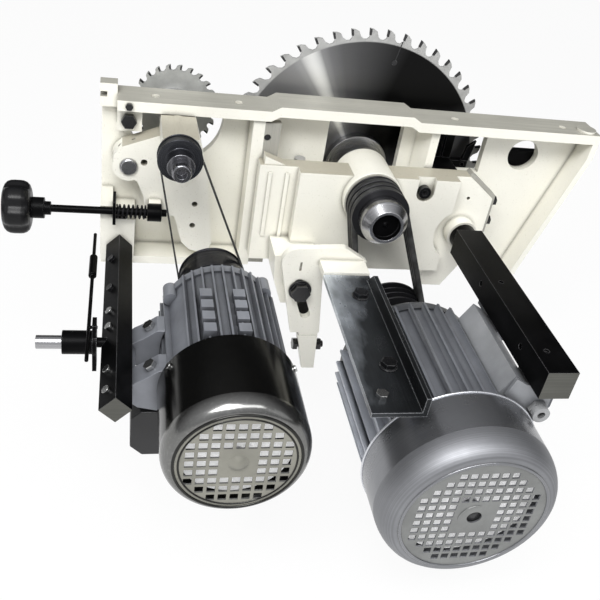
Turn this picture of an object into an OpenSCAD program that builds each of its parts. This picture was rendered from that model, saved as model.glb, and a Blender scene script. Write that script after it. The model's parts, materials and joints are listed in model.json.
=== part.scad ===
// Saw unit of a sliding table saw: cast plate, lifting carriage with the main blade,
// scoring arm with the scoring blade, and the two belt driven motors.
// Millimetres. Origin at the centre of the main blade, X to the right, Y towards the
// blade side, Z up.

/* [Plate] */
// Distance from the blade centre to the left edge of the plate
plate_left = 368; // [364:1:374]
// Distance from the blade centre to the right end of the rim
plate_right = 342; // [338:1:350]
// Thickness of the plate wall
web_t = 13; // [10:1:13]
// Height of the rim's underside above the main arbor axis
rim_z = 85; // [85:1:90]
// Thickness of the rim
rim_t = 14; // [10:1:18]
// How far the raised middle of the rim stands up
hump_h = 7; // [4:1:10]
// Depth of the plate below the main arbor axis
plate_drop = 145; // [145:1:155]
// Diameter of the bolt holes in the rim
rim_bolt_d = 11; // [9:0.5:13]

/* [Blades] */
// Diameter of the main blade
blade_d = 400; // [380:5:410]
// Plate thickness of the main blade
blade_t = 3; // [2.4:0.1:3.4]
// Teeth of the main blade
blade_teeth = 48; // [36:2:60]
// Diameter of the scoring blade
scoring_blade_d = 120; // [110:1:125]
// Teeth of the scoring blade
scoring_teeth = 24; // [20:1:28]

/* [Main arbor] */
// Diameter of the main arbor and of the blade bore
arbor_d = 30; // [28:0.5:31]
// Outer diameter of the arbor bearings
arbor_bearing_d = 62; // [60:1:64]
// Outer diameter of the arbor cartridge
cartridge_d = 84; // [82:1:86]
// Outer diameter of the belt pulley on the main arbor
arbor_pulley_d = 80; // [74:1:82]
// Pitch of the V-belts
belt_pitch = 12; // [11.5:0.1:12.5]

/* [Carriage] */
// Width of the carriage to the left of the arbor
carriage_left = 158; // [156:1:160]
// Height of the carriage top above the arbor
carriage_top = 30; // [26:1:33]
// Depth of the carriage below the arbor
carriage_drop = 120; // [116:1:124]
// Diameter of the lift screw
lift_screw_d = 16; // [14:0.5:18]

/* [Main motor] */
// Height of the motor axis below its feet
motor_h = 112; // [112:1:114]
// Radius over the cooling fins
motor_fin_r = 104; // [100:1:104]
// Number of cooling fins
motor_fins = 32; // [24:2:36]
// Diameter of the fan cover
motor_cover_d = 219; // [217:1:222]
// Diameter of the pulley on the main motor
motor_pulley_d = 112; // [104:1:114]
// Diameter of the main motor shaft
motor_shaft_d = 28; // [26:1:30]

/* [Scoring motor] */
// Radius over the cooling fins of the scoring motor
small_fin_r = 74; // [71:1:75]
// Number of cooling fins of the scoring motor
small_fins = 36; // [24:2:40]
// Diameter of the fan cover of the scoring motor
small_cover_d = 160; // [158:1:163]
// Diameter of the drum pulley on the scoring motor
drum_d = 90; // [80:1:94]
// Diameter of the scoring motor shaft
small_shaft_d = 19; // [17:1:21]

/* [Bars and adjusters] */
// Width across the square bar of the main motor
rail_w = 39; // [36:1:39]
// Width across the square bar of the scoring motor
small_bar_w = 25; // [22:1:26]
// Diameter of the adjuster rod
rod_d = 10; // [8:0.5:11]
// Diameter of the adjuster knob
knob_d = 70; // [60:1:76]
// Curls of the adjuster spring
spring_curls = 6; // [4:1:7]
// Wire diameter of the adjuster spring
spring_wire = 2.4; // [1.6:0.1:2.6]
// Diameter of the locking shaft
lock_shaft_d = 28; // [24:1:30]

/* [Clearances] */
// Radial clearance of running and sliding fits
fit = 0.03; // [0.02:0.01:0.05]
// Radial clearance of bolts in their holes
bolt_gap = 0.3; // [0.2:0.05:0.4]
// Gap between a belt and its pulley
belt_gap = 0.4; // [0.35:0.05:0.5]

/* [Hidden] */
$fn = 64;

cream = [0.91, 0.89, 0.80];
steel = [0.62, 0.63, 0.65];
black = [0.10, 0.10, 0.11];
motor_grey = [0.42, 0.43, 0.46];

// Plate, its rim and the places of its ribs
web_front = -35;
web_rear = web_front + web_t;
rim_front = -75;
rim_rear = -22;
rim_left = plate_left - 20;
rim_top = rim_z + rim_t;
hump_left = -136;
hump_right = 50;
hump_run = 12;
slant_top = [341, 61];
slant_foot = [282, -139];
way_face = -70;
way_back = -58;
left_rib = -170;
left_way = [-154, -132];
right_way = [152, 178];
way_step = 10;
way_top = 8;
flange_t = 12;

// Block that carries the left bar
rod_at = [-100, -47];
block_front = rod_at[0] + rod_d / 2 + 0.4;
block_top = -43;
block_shoulder = -62;
block_low = -128;
block_split = -352;
block_right = -322;

// Scoring side
pivot = [-332, 10];
pivot_r = 12;
scoring_axis = [-271.5, 66];
scoring_hole_r = 65;
small_axis = [-217.7, -110.9];
arm_back = -50;
arm_front = -80;
arm_block_front = -150;
scoring_shaft_r = 7.5;
scoring_bore_r = 10;
scoring_bearing_r = 17.5;
scoring_bearing_w = 11;
scoring_flange_r = 28;
scoring_rim_r = 24;
scoring_belt_y = -163;
scoring_belt_w = 12;
flat_belt_t = 2;

// Main arbor side
arbor_r = arbor_d / 2;
cartridge_r = cartridge_d / 2;
cartridge_back = -43;
cartridge_front = -122;
pulley_back = -126;
pulley_front = -166;
belt_mid = (pulley_back + pulley_front) / 2;
belt_w = 8.4;
belt_t = 8;
groove_depth = 9;
belt_r = arbor_pulley_d / 2 - groove_depth + belt_gap;
motor_belt_r = motor_pulley_d / 2 - groove_depth + belt_gap;

motor_axis_z = -188.1;

// Carriage
slab_front = -92;
raised_front = -110;
raised_x = [-105, 128];
carriage_right = 193;
corner_x = 150;
corner_z = -3;
foot_x = [115, 150];
foot_z = -158;
screw_at = [-95, -50];
nut_z = [-45, -20];
lift_up = 40;
screw_top = nut_z[1] + lift_up + 4;
lug_t = 20;
clamp_at = [-96, -117];
clamp_boss_r = 17;
clamp_boss_front = -163.3;
window_x = [-57, 54];
window_top = rim_z + 1;
window_low = -118;
knife_x = [98, 186];
knife_split = 146;
knife_low = [-62, 12];

// Motor cradle
foot_top = motor_axis_z + motor_h;
seat_gap = 0.1;
press = 0.02;
swing_axis = [153, foot_top + seat_gap + rail_w / 2];
journal_r = 14;
motor_axis = [58.3, motor_axis_z];
rail_far = -128;
rail_near = -445;
bracket_y = [-174.5, -163.5];
cross_bolt = [bracket_y[0] + 12, -222];
slot_r = norm(clamp_at - swing_axis);
slot_half = 7;
clamp_shank_r = 6;
angle_x = [-76, -12];
angle_y = [-472, -206];
angle_leg_y = -236;
angle_leg_t = 6;
angle_t = 6;
angle_up = 20;
angle_hole = [-62, -277];
angle_screw = [-58, -446];
foot_bolts_y = [-255, -395];
foot_bolt_x = 95;
foot_half = 18;
foot_t = 13;
barrel_r = 92;
barrel_bore_r = barrel_r - 8;
barrel_y = [-428, -245];
shield_r = barrel_r + 3;
shield_front = -190;
cover_y = [-485, barrel_y[0]];
cover_face = -520;
cover_face_r = 90;
cover_wall = 2;
grid_pitch = 12.3;
grid_hole = 9;
cover_screw_angles = [16, 123, 217, 286];
air_gap = 0.5;
rotor_r = barrel_bore_r - 34.2;
fan_y = [cover_face + 22, cover_face + 60];
fan_hub_r = 26;
fan_shaft_r = 11;
core_y = [-392, -276];
motor_bearing_r = 31;
motor_bearing_w = 16;
drive_bearing_y = -214;
rear_bearing_y = -440;

// Scoring motor
small_barrel_r = 67;
small_bore_r = small_barrel_r - 7;
small_barrel_y = [-388, -240];
small_cover_y = [-480, small_barrel_y[0]];
small_cover_face = -500;
small_cover_face_r = 67;
small_grid_pitch = 12.7;
small_rotor_r = small_bore_r - 25;
small_fan_y = [small_cover_face + 18, small_cover_face + 50];
small_fan_hub_r = 18;
small_fan_shaft_r = 7;
small_core_y = [-366, -262];
small_bearing_r = 20;
small_bearing_w = 12;
small_drive_bearing_y = -226;
small_rear_bearing_y = -396;
small_box_y = [-385, -300];
small_box_points = [[-325, -158], [-314, -147.5], [-272, -147.5], [-256, -165], [-266, -205],
    [-285, -216], [-311, -216], [-325, -202]];
drum_y = [-195, -154];

// Left bar, adjuster and locking shaft
left_bar = [-342, -104];
left_bar_y = [-427, block_front];
half_diagonal = small_bar_w / sqrt(2);
rod_x = [-431, -280];
stop_x = [-351.5, -347.5];
nut_x = [-306, -287];
nut_r = 12;
spring_r = 8.6;
spring_x = [stop_x[1] + 0.3, nut_x[0] - 0.3];
lock_at = [-312, -104];
lock_x = [-433, -404, -368];
lock_pin_r = 6;
link_y = [-372, -104];
link_sleeve_y = [-206, -162];
lever_x = [-370, -365];
link_x = -374;
link_z = lock_at[1] + 22;

// Screws of the plate
rim_bolts = [-300, -190, 120, 290];
rim_bolt_y = -50;
level_at = [-333, 67];
rim_screw_at = [level_at[0], rim_z + 7];
way_screw_x = [left_way[0] + 5, right_way[0] + 5];
way_screw_z = [-125, -65, -5, 60];
rail_screw_x = [212, 300];
rail_screw_z = 20;
rear_rail_x = [196, 322];
rear_rail_z = [8, 45];
rear_rail_t = 14;
bar_screw_y = [-145, -213, -263, -294, -372, -406];
foot_bolt_ys = [-372, -300];
foot_lug_half = 15;
foot_bolt_at = [-304, -90];
round_window_at = [251, 44];
round_window_r = 24;

// Fasteners and small features of the carriage and the cradle
socket_at = [79, 9];
gib_bolt_y = -79;
gib_bolt_z = [-12, -45];
knife_bolt_x = [112, 132];
knife_foot_z = 10;
hub_r = 24;
clamp_r = 47;
nose_r = 12;
thread_r = 11;
arbor_bearing_w = 16;
arbor_bearing_y = [cartridge_front + 1, cartridge_back - 17];
blade_turn = 4;
slot_angles = [79, 169, 259, 349];
angle_base = foot_top + seat_gap;
slot_angle = 180 + atan2(swing_axis[1] - clamp_at[1], swing_axis[0] - clamp_at[0]);
rail_dot_y = [-262, -405];
rail_hole_y = [-240, -375];
box_y = [-414, -268];
box_room_points = [polar(barrel_r - 1.4, 68), [42, 96], [58, 122], [78, 110], [78, 84],
    polar(barrel_r - 1.9, 40.05)];
box_points = [polar(barrel_r - 0.6, 66.8), [43, 94], [58, 120], [73, 111], [77.5, 107], [77.5, 84],
    polar(barrel_r - 1.3, 41.4)];
gland_d = 22;
gland_at = polar(motor_cover_d / 2 + gland_d / 2 + 2.3, 37.056);
box_lid_points = [[50, 94], [58, 119], [74, 110], gland_at + [14, 34], gland_at + [14, -22],
    gland_at + [-3, -22], gland_at + [-13, -10], [68, 82]];
small_screw_angles = [28, 149, 270];

module box(x, y, z) {
    translate([x[0], y[0], z[0]]) cube([x[1] - x[0], y[1] - y[0], z[1] - z[0]]);
}

// A round bar along Y, at a place in X and Z
module bar_y(at, r, y) {
    translate([at[0], min(y), at[1]]) rotate([-90, 0, 0]) cylinder(r = r, h = abs(y[1] - y[0]));
}

// A round bar along X, at a place in Y and Z
module bar_x(at, r, x) {
    translate([min(x), at[0], at[1]]) rotate([0, 90, 0]) cylinder(r = r, h = abs(x[1] - x[0]));
}

module ring_y(at, ro, ri, y) {
    difference() {
        bar_y(at, ro, y);
        bar_y(at, ri, [min(y) - 1, max(y) + 1]);
    }
}

// A flat outline in X and Z, carried along Y
module slab_y(points, y) {
    translate([0, max(y), 0]) rotate([90, 0, 0]) linear_extrude(abs(y[1] - y[0])) polygon(points);
}

// A flat outline in Y and Z, carried along X
module slab_x(points, x) {
    translate([min(x), 0, 0]) rotate([90, 0, 90]) linear_extrude(abs(x[1] - x[0])) polygon(points);
}

// A turned part round an axis along Y; its points are radius and Y
module turned_y(at, points) {
    translate([at[0], 0, at[1]]) rotate([-90, 0, 0]) rotate_extrude() polygon(points);
}

// Hexagon head along Y, width across flats w
module hex_y(at, w, y) {
    translate([at[0], min(y), at[1]]) rotate([-90, 0, 0])
        cylinder(r = w / sqrt(3), h = abs(y[1] - y[0]), $fn = 6);
}

module hex_x(at, w, x) {
    translate([min(x), at[0], at[1]]) rotate([0, 90, 0])
        cylinder(r = w / sqrt(3), h = abs(x[1] - x[0]), $fn = 6);
}

function polar(r, a) = [r * cos(a), r * sin(a)];

// Closed loop round two circles with centres a and b and radii ra and rb, in small steps
function loop_points(a, ra, b, rb) =
    let (n = 24, d = b - a, u = atan2(d[1], d[0]), s = acos((ra - rb) / norm(d)))
    concat([for (i = [0:n]) b + polar(rb, u - s + 2 * s * i / n)],
        [for (i = [0:n]) a + polar(ra, u + s + (360 - 2 * s) * i / n)]);

// One belt round two pulleys, t thick, across y
module belt(a, ra, b, rb, t, y) {
    difference() {
        slab_y(loop_points(a, ra + t, b, rb + t), y);
        slab_y(loop_points(a, ra, b, rb), [min(y) - 1, max(y) + 1]);
    }
}

// Outline of a saw blade: each tooth is a tip, a sloping back, a gullet and a hooked face
function tooth(r, h, n, i) =
    let (p = 360 / n, a = -i * p)
    [polar(r, a), polar(r - 0.10 * h, a - 0.22 * p), polar(r - 0.30 * h, a - 0.42 * p),
        polar(r - 0.75 * h, a - 0.52 * p), polar(r - h, a - 0.70 * p),
        polar(r - h, a - 0.88 * p), polar(r - 0.80 * h, a - 1.02 * p)];

module blade_plate(r, h, n, bore_r, t, turn) {
    rotate([90, 0, 0]) translate([0, 0, -t / 2]) linear_extrude(t) rotate(turn)
        difference() {
            polygon([for (i = [0:n - 1]) each tooth(r, h, n, i)]);
            circle(bore_r);
        }
}

// Barrel of a motor with straight fins round it, between the angles in a list of gaps
module finned_barrel(at, core_r, fin_r, fins, fin_t, y, gaps) {
    bar_y(at, core_r, y);
    step = 360 / fins;
    for (i = [0:fins - 1])
        if (len([for (g = gaps) if (abs(((i * step - g[0] + 540) % 360) - 180) < g[1]) g]) == 0)
            translate([at[0], max(y), at[1]]) rotate([90, 0, 0]) rotate([0, 0, i * step])
                translate([core_r - 3, -fin_t / 2, 0]) cube([fin_r - core_r + 3, fin_t, abs(y[1] - y[0])]);
}

// Thin fan cover: straight wall, round shoulder and flat face, wall w
function cover_side(r, w, y, fr, fy) =
    [for (i = [0:8]) [fr - w + (r - fr) * cos(i * 11.25), y + (fy - y) * sin(i * 11.25)]];

module cover_shell(at, r, y, face_y, face_r, w) {
    outer = cover_side(r, 0, y[0], face_r, face_y);
    inner = cover_side(r, w, y[0], face_r, face_y + w);
    turned_y(at, concat([[r, y[1]]], outer, [[0, face_y], [0, face_y + w]],
        [for (i = [8:-1:0]) inner[i]], [[r - w, y[1]]]));
}

// Square holes in rows of the counts given; the middle stays closed
module grid_holes(at, y, pitch, hole, counts, closed) {
    for (j = [0:len(counts) - 1])
        let (dz = (j - (len(counts) - 1) / 2) * pitch)
            for (i = [0:counts[j] - 1])
                let (dx = (i - (counts[j] - 1) / 2) * pitch)
                    if (max(abs(dx), abs(dz)) > closed * pitch)
                        box([at[0] + dx - hole / 2, at[0] + dx + hole / 2], y,
                            [at[1] + dz - hole / 2, at[1] + dz + hole / 2]);
}

// Hub with straight blades, for the cooling fans
module fan_wheel(at, r, hub_r, bore_r, y, blades) {
    difference() {
        union() {
            bar_y(at, hub_r, y);
            bar_y(at, r, [min(y) + 1, min(y) + 4]);
            for (i = [0:blades - 1])
                translate([at[0], max(y) - 2, at[1]]) rotate([90, 0, 0])
                    rotate([0, 0, (i + 0.3) * 360 / blades]) translate([hub_r - 3, -1.5, 0])
                        cube([r - hub_r, 3, abs(y[1] - y[0]) - 4]);
        }
        bar_y(at, bore_r, [min(y) - 1, max(y) + 1]);
    }
}

// Ball bearing: two rings and, in place of the balls, a web between them
module bearing(at, ro, ri, y) {
    t = (ro - ri) / 5;
    c = (y[0] + y[1]) / 2;
    ring_y(at, ro, ro - 1.4 * t, y);
    ring_y(at, ri + 1.4 * t, ri, y);
    ring_y(at, ro - 0.6 * t, ri + 0.6 * t, [c - 1, c + 1]);
}

// Root body: the plate and what is fixed to it
module plate_outline() {
    polygon([[-plate_left, -plate_drop], [slant_foot[0], -plate_drop], slant_top,
        [plate_right, rim_z], [hump_right + hump_run, rim_z + 0.5], [hump_right, rim_z + hump_h + 0.5],
        [hump_left, rim_z + hump_h + 0.5], [hump_left - hump_run, rim_z + 0.5], [-rim_left, rim_z],
        [-plate_left, rim_z]]);
}

module base_plate() color(cream) {
    rim = [[-rim_left, rim_z], [hump_left - hump_run, rim_z], [hump_left, rim_z + hump_h],
        [hump_right, rim_z + hump_h], [hump_right + hump_run, rim_z], [plate_right, rim_z],
        [plate_right, rim_top], [hump_right + hump_run, rim_top], [hump_right, rim_top + hump_h],
        [hump_left, rim_top + hump_h], [hump_left - hump_run, rim_top], [-rim_left, rim_top]];
    difference() {
        union() {
            translate([0, web_rear, 0]) rotate([90, 0, 0]) linear_extrude(web_t) plate_outline();
            slab_y(rim, [rim_front, rim_rear]);
            // Lug at the left end of the rim
            box([-plate_left - 2, -rim_left], [-50, -30], [rim_z - 5, rim_top + 12]);
            // Boss for the levelling bolt under the left end of the rim
            box([-rim_left, -316], [-60, web_front + 1], [52, rim_z + 1]);
            // Flange along the bottom, left flange and right slanted flange
            box([-plate_left, left_rib], [rim_front, web_front + 1], [-plate_drop, -plate_drop + flange_t]);
            slab_y([[plate_right - 9, rim_z + 1], [plate_right, rim_z + 1], slant_top, slant_foot,
                [slant_foot[0], -plate_drop], [slant_foot[0] - 9, -plate_drop],
                [slant_foot[0] - 9, slant_foot[1]], [slant_top[0] - 9, slant_top[1]]],
                [rim_front, web_front + 1]);
            // Block for the left bar
            box([-plate_left, block_split], [block_front, web_front + 1], [block_low, block_top]);
            box([block_split - 1, block_right], [block_front, web_front + 1], [block_low, block_shoulder]);
            // Ribs that hold the ways of the carriage
            box([left_rib, left_way[0]], [way_face, web_front + 1], [-plate_drop, rim_z + 1]);
            box([left_way[0] - 1, left_way[0] + way_step], [way_back, web_front + 1],
                [-plate_drop, rim_z - 4]);
            box([right_way[0], right_way[0] + way_step], [way_back, web_front + 1], [-plate_drop, way_top]);
            // Rib between the two windows, with a slanted flank
            translate([0, 0, knife_low[1]]) linear_extrude(rim_z + 1 - knife_low[1])
                polygon([[74, web_front + 1], [86, way_face + 4], [knife_x[0], way_face + 4],
                    [knife_x[0], web_front + 1]]);
            // Boss behind the scoring arm
            bar_y(pivot, 22, [arm_back + 0.3, web_front + 1]);
            // Bearing lug of the lift screw
            box([screw_at[0] - 20, screw_at[0] + 20], [screw_at[1] - 14, web_front + 1],
                [-plate_drop, -plate_drop + lug_t]);
            // Corner boss on the right end of the rim
            translate([plate_right - 18, rim_front + 16, rim_z]) cylinder(r = 14, h = rim_t + 4);
        }
        // Arbor window with round top corners
        translate([0, web_rear + 1, 0]) rotate([90, 0, 0]) linear_extrude(web_t + 2) {
            for (x = [window_x[0] + 12, window_x[1] - 12]) translate([x, window_top - 12]) circle(12);
            polygon([[window_x[0] + 12, window_top], [window_x[0] + 12, window_top - 12],
                [window_x[0], window_top - 12], [window_x[0], window_low], [window_x[1], window_low],
                [window_x[1], window_top - 12], [window_x[1] - 12, window_top - 12],
                [window_x[1] - 12, window_top]]);
        }
        // Window of the knife holder: a long left half and a short right half
        box([knife_x[0], knife_split], [web_front - 1, web_rear + 1], [knife_low[0], rim_z]);
        box([knife_split - 1, knife_x[1]], [web_front - 1, web_rear + 1], [knife_low[1], rim_z]);
        // Hole for the scoring blade and the round hole at the right
        intersection() {
            bar_y(scoring_axis, scoring_hole_r, [web_front - 0.5, web_rear + 1]);
            box([-plate_left, 0], [web_front - 1, web_rear + 2], [0, rim_z]);
        }
        bar_y(round_window_at, round_window_r, [web_front - 1, web_rear + 1]);
        // Pin of the scoring arm, lift screw journal and bolts
        bar_y(pivot, pivot_r, [arm_back - 1, web_rear + 1]);
        translate([screw_at[0], screw_at[1], -plate_drop - 1])
            cylinder(r = lift_screw_d / 2 - 1 + fit, h = lug_t + 2);
        for (x = rim_bolts) translate([x, rim_bolt_y, rim_z - 1])
            cylinder(r = rim_bolt_d / 2, h = rim_t + hump_h + 2);
        // Slot in the lug, and levelling bolt hole
        box([-plate_left - 3, -plate_left + 7], [-51, -29], [rim_top - 6, rim_top + 1]);
        bar_y(level_at, 5 + bolt_gap, [-61, -38]);
        bar_y(rim_screw_at, 3 + bolt_gap, [rim_front - 1, rim_front + 14]);
        for (x = way_screw_x, z = way_screw_z) if (x < 0 || z < way_top)
            bar_y([x, z], 2.5, [way_back - 1, way_back + 14]);
        for (x = rail_screw_x) bar_y([x, rail_screw_z], 4 + bolt_gap, [web_front + 2, web_rear + 1]);
    }
}

module slideways() color(steel) {
    tops = [rim_z - 4, way_top];
    ways = [left_way, right_way];
    for (i = [0, 1]) difference() {
        box(ways[i], [way_face, way_back], [-plate_drop + 5, tops[i]]);
        for (z = way_screw_z) if (z < tops[i]) {
            bar_y([way_screw_x[i], z], 2.5 + bolt_gap, [way_face - 1, way_back + 1]);
            bar_y([way_screw_x[i], z], 4.8, [way_face - 1, way_face + 6]);
        }
    }
}

module rear_rail() color(black) {
    difference() {
        box(rear_rail_x, [web_rear, web_rear + rear_rail_t], rear_rail_z);
        for (x = rail_screw_x)
            bar_y([x, rail_screw_z], 4 + bolt_gap, [web_rear - 1, web_rear + rear_rail_t + 1]);
    }
}

module bar_face(y) {
    translate([left_bar[0], y, left_bar[1]]) rotate([0, -45, 0]) translate([0, 0, small_bar_w / 2])
        children();
}

module frame_screws() color(black) {
    hex_y(level_at, 18, [-68, -60]);
    bar_y(level_at, 5, [-60.5, -39]);
    hex_y(rim_screw_at, 9, [rim_front - 4, rim_front]);
    bar_y(rim_screw_at, 3, [rim_front - 0.5, rim_front + 12]);
    for (i = [0, 1], z = way_screw_z) if (i == 0 || z < way_top) {
        bar_y([way_screw_x[i], z], 4.3, [way_face + 1, way_face + 6]);
        bar_y([way_screw_x[i], z], 2.4, [way_face + 5.5, way_back + 12]);
    }
    for (x = rail_screw_x) {
        hex_y([x, rail_screw_z], 13, [web_rear + rear_rail_t, web_rear + rear_rail_t + 6]);
        bar_y([x, rail_screw_z], 4, [web_front + 3, web_rear + rear_rail_t + 0.5]);
    }
    for (y = bar_screw_y) bar_face(y) {
        cylinder(r = 5, h = 4);
        translate([0, 0, -8]) cylinder(r = 2.9, h = 8.5);
    }
}

module left_support_bar() color(black) {
    difference() {
        translate([left_bar[0], left_bar_y[0], left_bar[1]]) rotate([0, 45, 0])
            translate([-small_bar_w / 2, 0, -small_bar_w / 2])
                cube([small_bar_w, left_bar_y[1] - left_bar_y[0], small_bar_w]);
        bar_x(lock_at, lock_pin_r + fit, [left_bar[0] - half_diagonal - 1, left_bar[0] + 2]);
        for (y = bar_screw_y) bar_face(y) translate([0, 0, -9]) cylinder(r = 3, h = 10);
    }
}

module scoring_motor_foot() color(motor_grey) {
    corner = left_bar + [half_diagonal, 0];
    difference() {
        union() {
            slab_y([corner + [-3, -3], left_bar + [3, -half_diagonal + 3],
                left_bar + [10, -half_diagonal - 4], corner + [4, -10]],
                [foot_bolt_ys[0] - foot_lug_half, foot_bolt_ys[1] + foot_lug_half]);
            for (y = foot_bolt_ys)
                slab_y([corner + [-3, -3], left_bar + [3, -half_diagonal + 3],
                    left_bar + [11, -half_diagonal - 5], [-318, -138], [-284, -146], [-284, -84],
                    [-296, -84], [-312, -96], corner + [2.3, 2.3]], [y - foot_lug_half, y + foot_lug_half]);
        }
        bar_y(small_axis, small_fin_r + seat_gap, [foot_bolt_ys[0] - 20, foot_bolt_ys[1] + 20]);
        for (y = foot_bolt_ys) small_foot_bolt(y) translate([0, 0, -13]) cylinder(r = 4 + bolt_gap, h = 30);
    }
}

// Place and direction of a cover screw of the scoring motor
module small_cover_screw(a) {
    translate([small_axis[0], small_cover_y[1] - 7, small_axis[1]]) rotate([0, 90 - a, 0])
        translate([0, 0, small_cover_d / 2]) children();
}

module scoring_motor_screws() color(steel) {
    for (y = foot_bolt_ys) small_foot_bolt(y) {
        cylinder(r = 13 / sqrt(3), h = 6, $fn = 6);
        translate([0, 0, -12]) cylinder(r = 4, h = 12.5);
    }
    for (a = small_screw_angles) small_cover_screw(a) {
        cylinder(r = 4, h = 2.5);
        translate([0, 0, -8]) cylinder(r = 2, h = 8.5);
    }
}

// Place and direction of a foot bolt of the scoring motor
module small_foot_bolt(y) {
    translate([foot_bolt_at[0], y, foot_bolt_at[1]]) rotate([0, -atan2(12, 16), 0]) children();
}

module scoring_motor_housing() color(motor_grey) {
    gaps = [[142, 10], [230, 24]];
    front = small_barrel_y[1];
    rear = small_barrel_y[0];
    difference() {
        union() {
            finned_barrel(small_axis, small_barrel_r, small_fin_r, small_fins, 2.4, small_barrel_y, gaps);
            turned_y(small_axis, [[0, front - 8], [small_barrel_r + 3, front - 8],
                [small_barrel_r + 3, front + 4], [small_barrel_r - 4, front + 8],
                [small_bearing_r + 14, front + 14], [small_bearing_r + 6, front + 24], [0, front + 24]]);
            // Rear shield, inside the fan cover
            bar_y(small_axis, small_cover_d / 2 - cover_wall - 2 * seat_gap, [rear - 14, rear]);
            for (a = [41, 151, 230, 310])
                bar_y(small_axis + polar(small_barrel_r + 3, a), 9, [front - 22, front + 3]);
            for (x = [-25, 14], k = [0:3])
                box([small_axis[0] + x - 7, small_axis[0] + x + 7],
                    [front - 72 - 22 * k, front - 57 - 22 * k],
                    [small_axis[1] + small_barrel_r - 8, small_axis[1] + small_barrel_r + 10]);
        }
        bar_y(small_axis, small_bore_r, [rear + 8, front - 8]);
        bar_y(small_axis, small_bearing_r,
            [small_drive_bearing_y - small_bearing_w, small_drive_bearing_y]);
        bar_y(small_axis, small_bearing_r - 4, [front - 9, front + 25]);
        bar_y(small_axis, small_bearing_r, [rear - 15, small_rear_bearing_y + small_bearing_w]);
        bar_y(small_axis, small_bearing_r - 4, [rear - 15, rear + 9]);
        for (a = small_screw_angles) small_cover_screw(a) translate([0, 0, -10]) cylinder(r = 2.1, h = 12);
    }
}

module stator(at, core_r, bore_r, core, over) {
    ring_y(at, core_r, bore_r, core);
    ring_y(at, core_r - 6, bore_r + 6, [core[0] - over, core[0]]);
    ring_y(at, core_r - 6, bore_r + 6, [core[1], core[1] + over]);
}

module scoring_motor_stator() color([0.55, 0.32, 0.18]) {
    stator(small_axis, small_bore_r - 0.05, small_rotor_r + air_gap, small_core_y, 10);
}

module scoring_motor_bearings() color(steel) {
    for (y = [small_drive_bearing_y, small_rear_bearing_y + small_bearing_w])
        bearing(small_axis, small_bearing_r - press, small_shaft_d / 2 + fit, [y - small_bearing_w, y]);
}

module scoring_fan_cover() color(black) {
    difference() {
        cover_shell(small_axis, small_cover_d / 2, small_cover_y, small_cover_face, small_cover_face_r,
            cover_wall);
        grid_holes(small_axis, [small_cover_face - 1, small_cover_face + cover_wall + 1], small_grid_pitch,
            grid_hole, [5, 7, 9, 9, 9, 9, 9, 7, 5], 1.5);
        for (a = small_screw_angles) small_cover_screw(a) translate([0, 0, -10]) cylinder(r = 2.2, h = 12);
    }
}

module scoring_terminal_box() color(black) {
    difference() {
        slab_y(small_box_points, small_box_y);
        bar_y(small_axis, small_barrel_r + seat_gap, [small_box_y[0] - 1, small_box_y[1] + 1]);
    }
}

module spring_stop() color(black) {
    difference() {
        union() {
            box(stop_x, [-112, -80], [block_shoulder, -28]);
            box([stop_x[0], stop_x[0] + 18], [-94, -80], [block_shoulder, block_shoulder + 4]);
        }
        bar_x(rod_at, rod_d / 2 + fit, [stop_x[0] - 1, stop_x[1] + 1]);
    }
}

module arm_pivot_pin() color(steel) {
    turned_y(pivot, [[0, web_rear - 1], [pivot_r - press, web_rear - 1], [pivot_r - press, arm_front - 2],
        [pivot_r - 2, arm_front - 4], [0, arm_front - 4]]);
}

// Centre line of the spring; its ends run straight along the rod's direction
function spring_point(u, turns) =
    let (lead = spring_wire, span = spring_x[1] - spring_x[0] - 2 * lead)
    [spring_x[0] + lead + span * u, rod_at[0] + spring_r * sin(360 * turns * u),
        rod_at[1] + spring_r * cos(360 * turns * u)];

function spring_line(turns) =
    let (n = 8 * turns, a = spring_point(0, turns), b = spring_point(1, turns))
    concat([[spring_x[0], a[1], a[2]]], [for (i = [0:n]) spring_point(i / n, turns)],
        [[spring_x[1], b[1], b[2]]]);

// Least distance between the wire's centre line and itself, one curl or more away
spring_gap = let (p = spring_line(spring_curls), n = len(p))
    min([for (i = [0:n - 7], j = [i + 6:n - 1]) norm(p[i] - p[j])]) - spring_wire;

function ring_axis(p, i) = i == 0 || i == len(p) - 1 ? [1, 0, 0]
    : (p[i + 1] - p[i - 1]) / norm(p[i + 1] - p[i - 1]);

module tube(p, r, sides) {
    rings = [for (i = [0:len(p) - 1])
        let (t = ring_axis(p, i), out = p[i] - [p[i][0], rod_at[0], rod_at[1]],
            v = cross(t, out / norm(out)), w = cross(v, t))
        for (k = [0:sides - 1]) p[i] + r * (w / norm(w) * cos(360 * k / sides)
            + v / norm(v) * sin(360 * k / sides))];
    n = len(p);
    faces = concat(
        [for (i = [0:n - 2], k = [0:sides - 1], h = [0, 1])
            let (a = i * sides + k, b = i * sides + (k + 1) % sides)
            h == 0 ? [a, b, b + sides] : [a, b + sides, a + sides]],
        [for (k = [1:sides - 2]) [0, k + 1, k]],
        [for (k = [1:sides - 2]) let (e = (n - 1) * sides) [e, e + k, e + k + 1]]);
    polyhedron(points = rings, faces = faces);
}

module adjuster_spring() color(steel) {
    echo(spring_gap = spring_gap);
    tube(spring_line(spring_curls), spring_wire / 2, 6);
}

// Locking shaft with its lever and link
module lock_shaft() color(black) {
    bar_x(lock_at, lock_shaft_d / 2 - 6, [lock_x[0], lock_x[1]]);
    bar_x(lock_at, lock_shaft_d / 2, [lock_x[1], lock_x[2] - 2]);
    bar_x(lock_at, lock_pin_r, [lock_x[2] - 3, left_bar[0] - half_diagonal + 14]);
}

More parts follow.
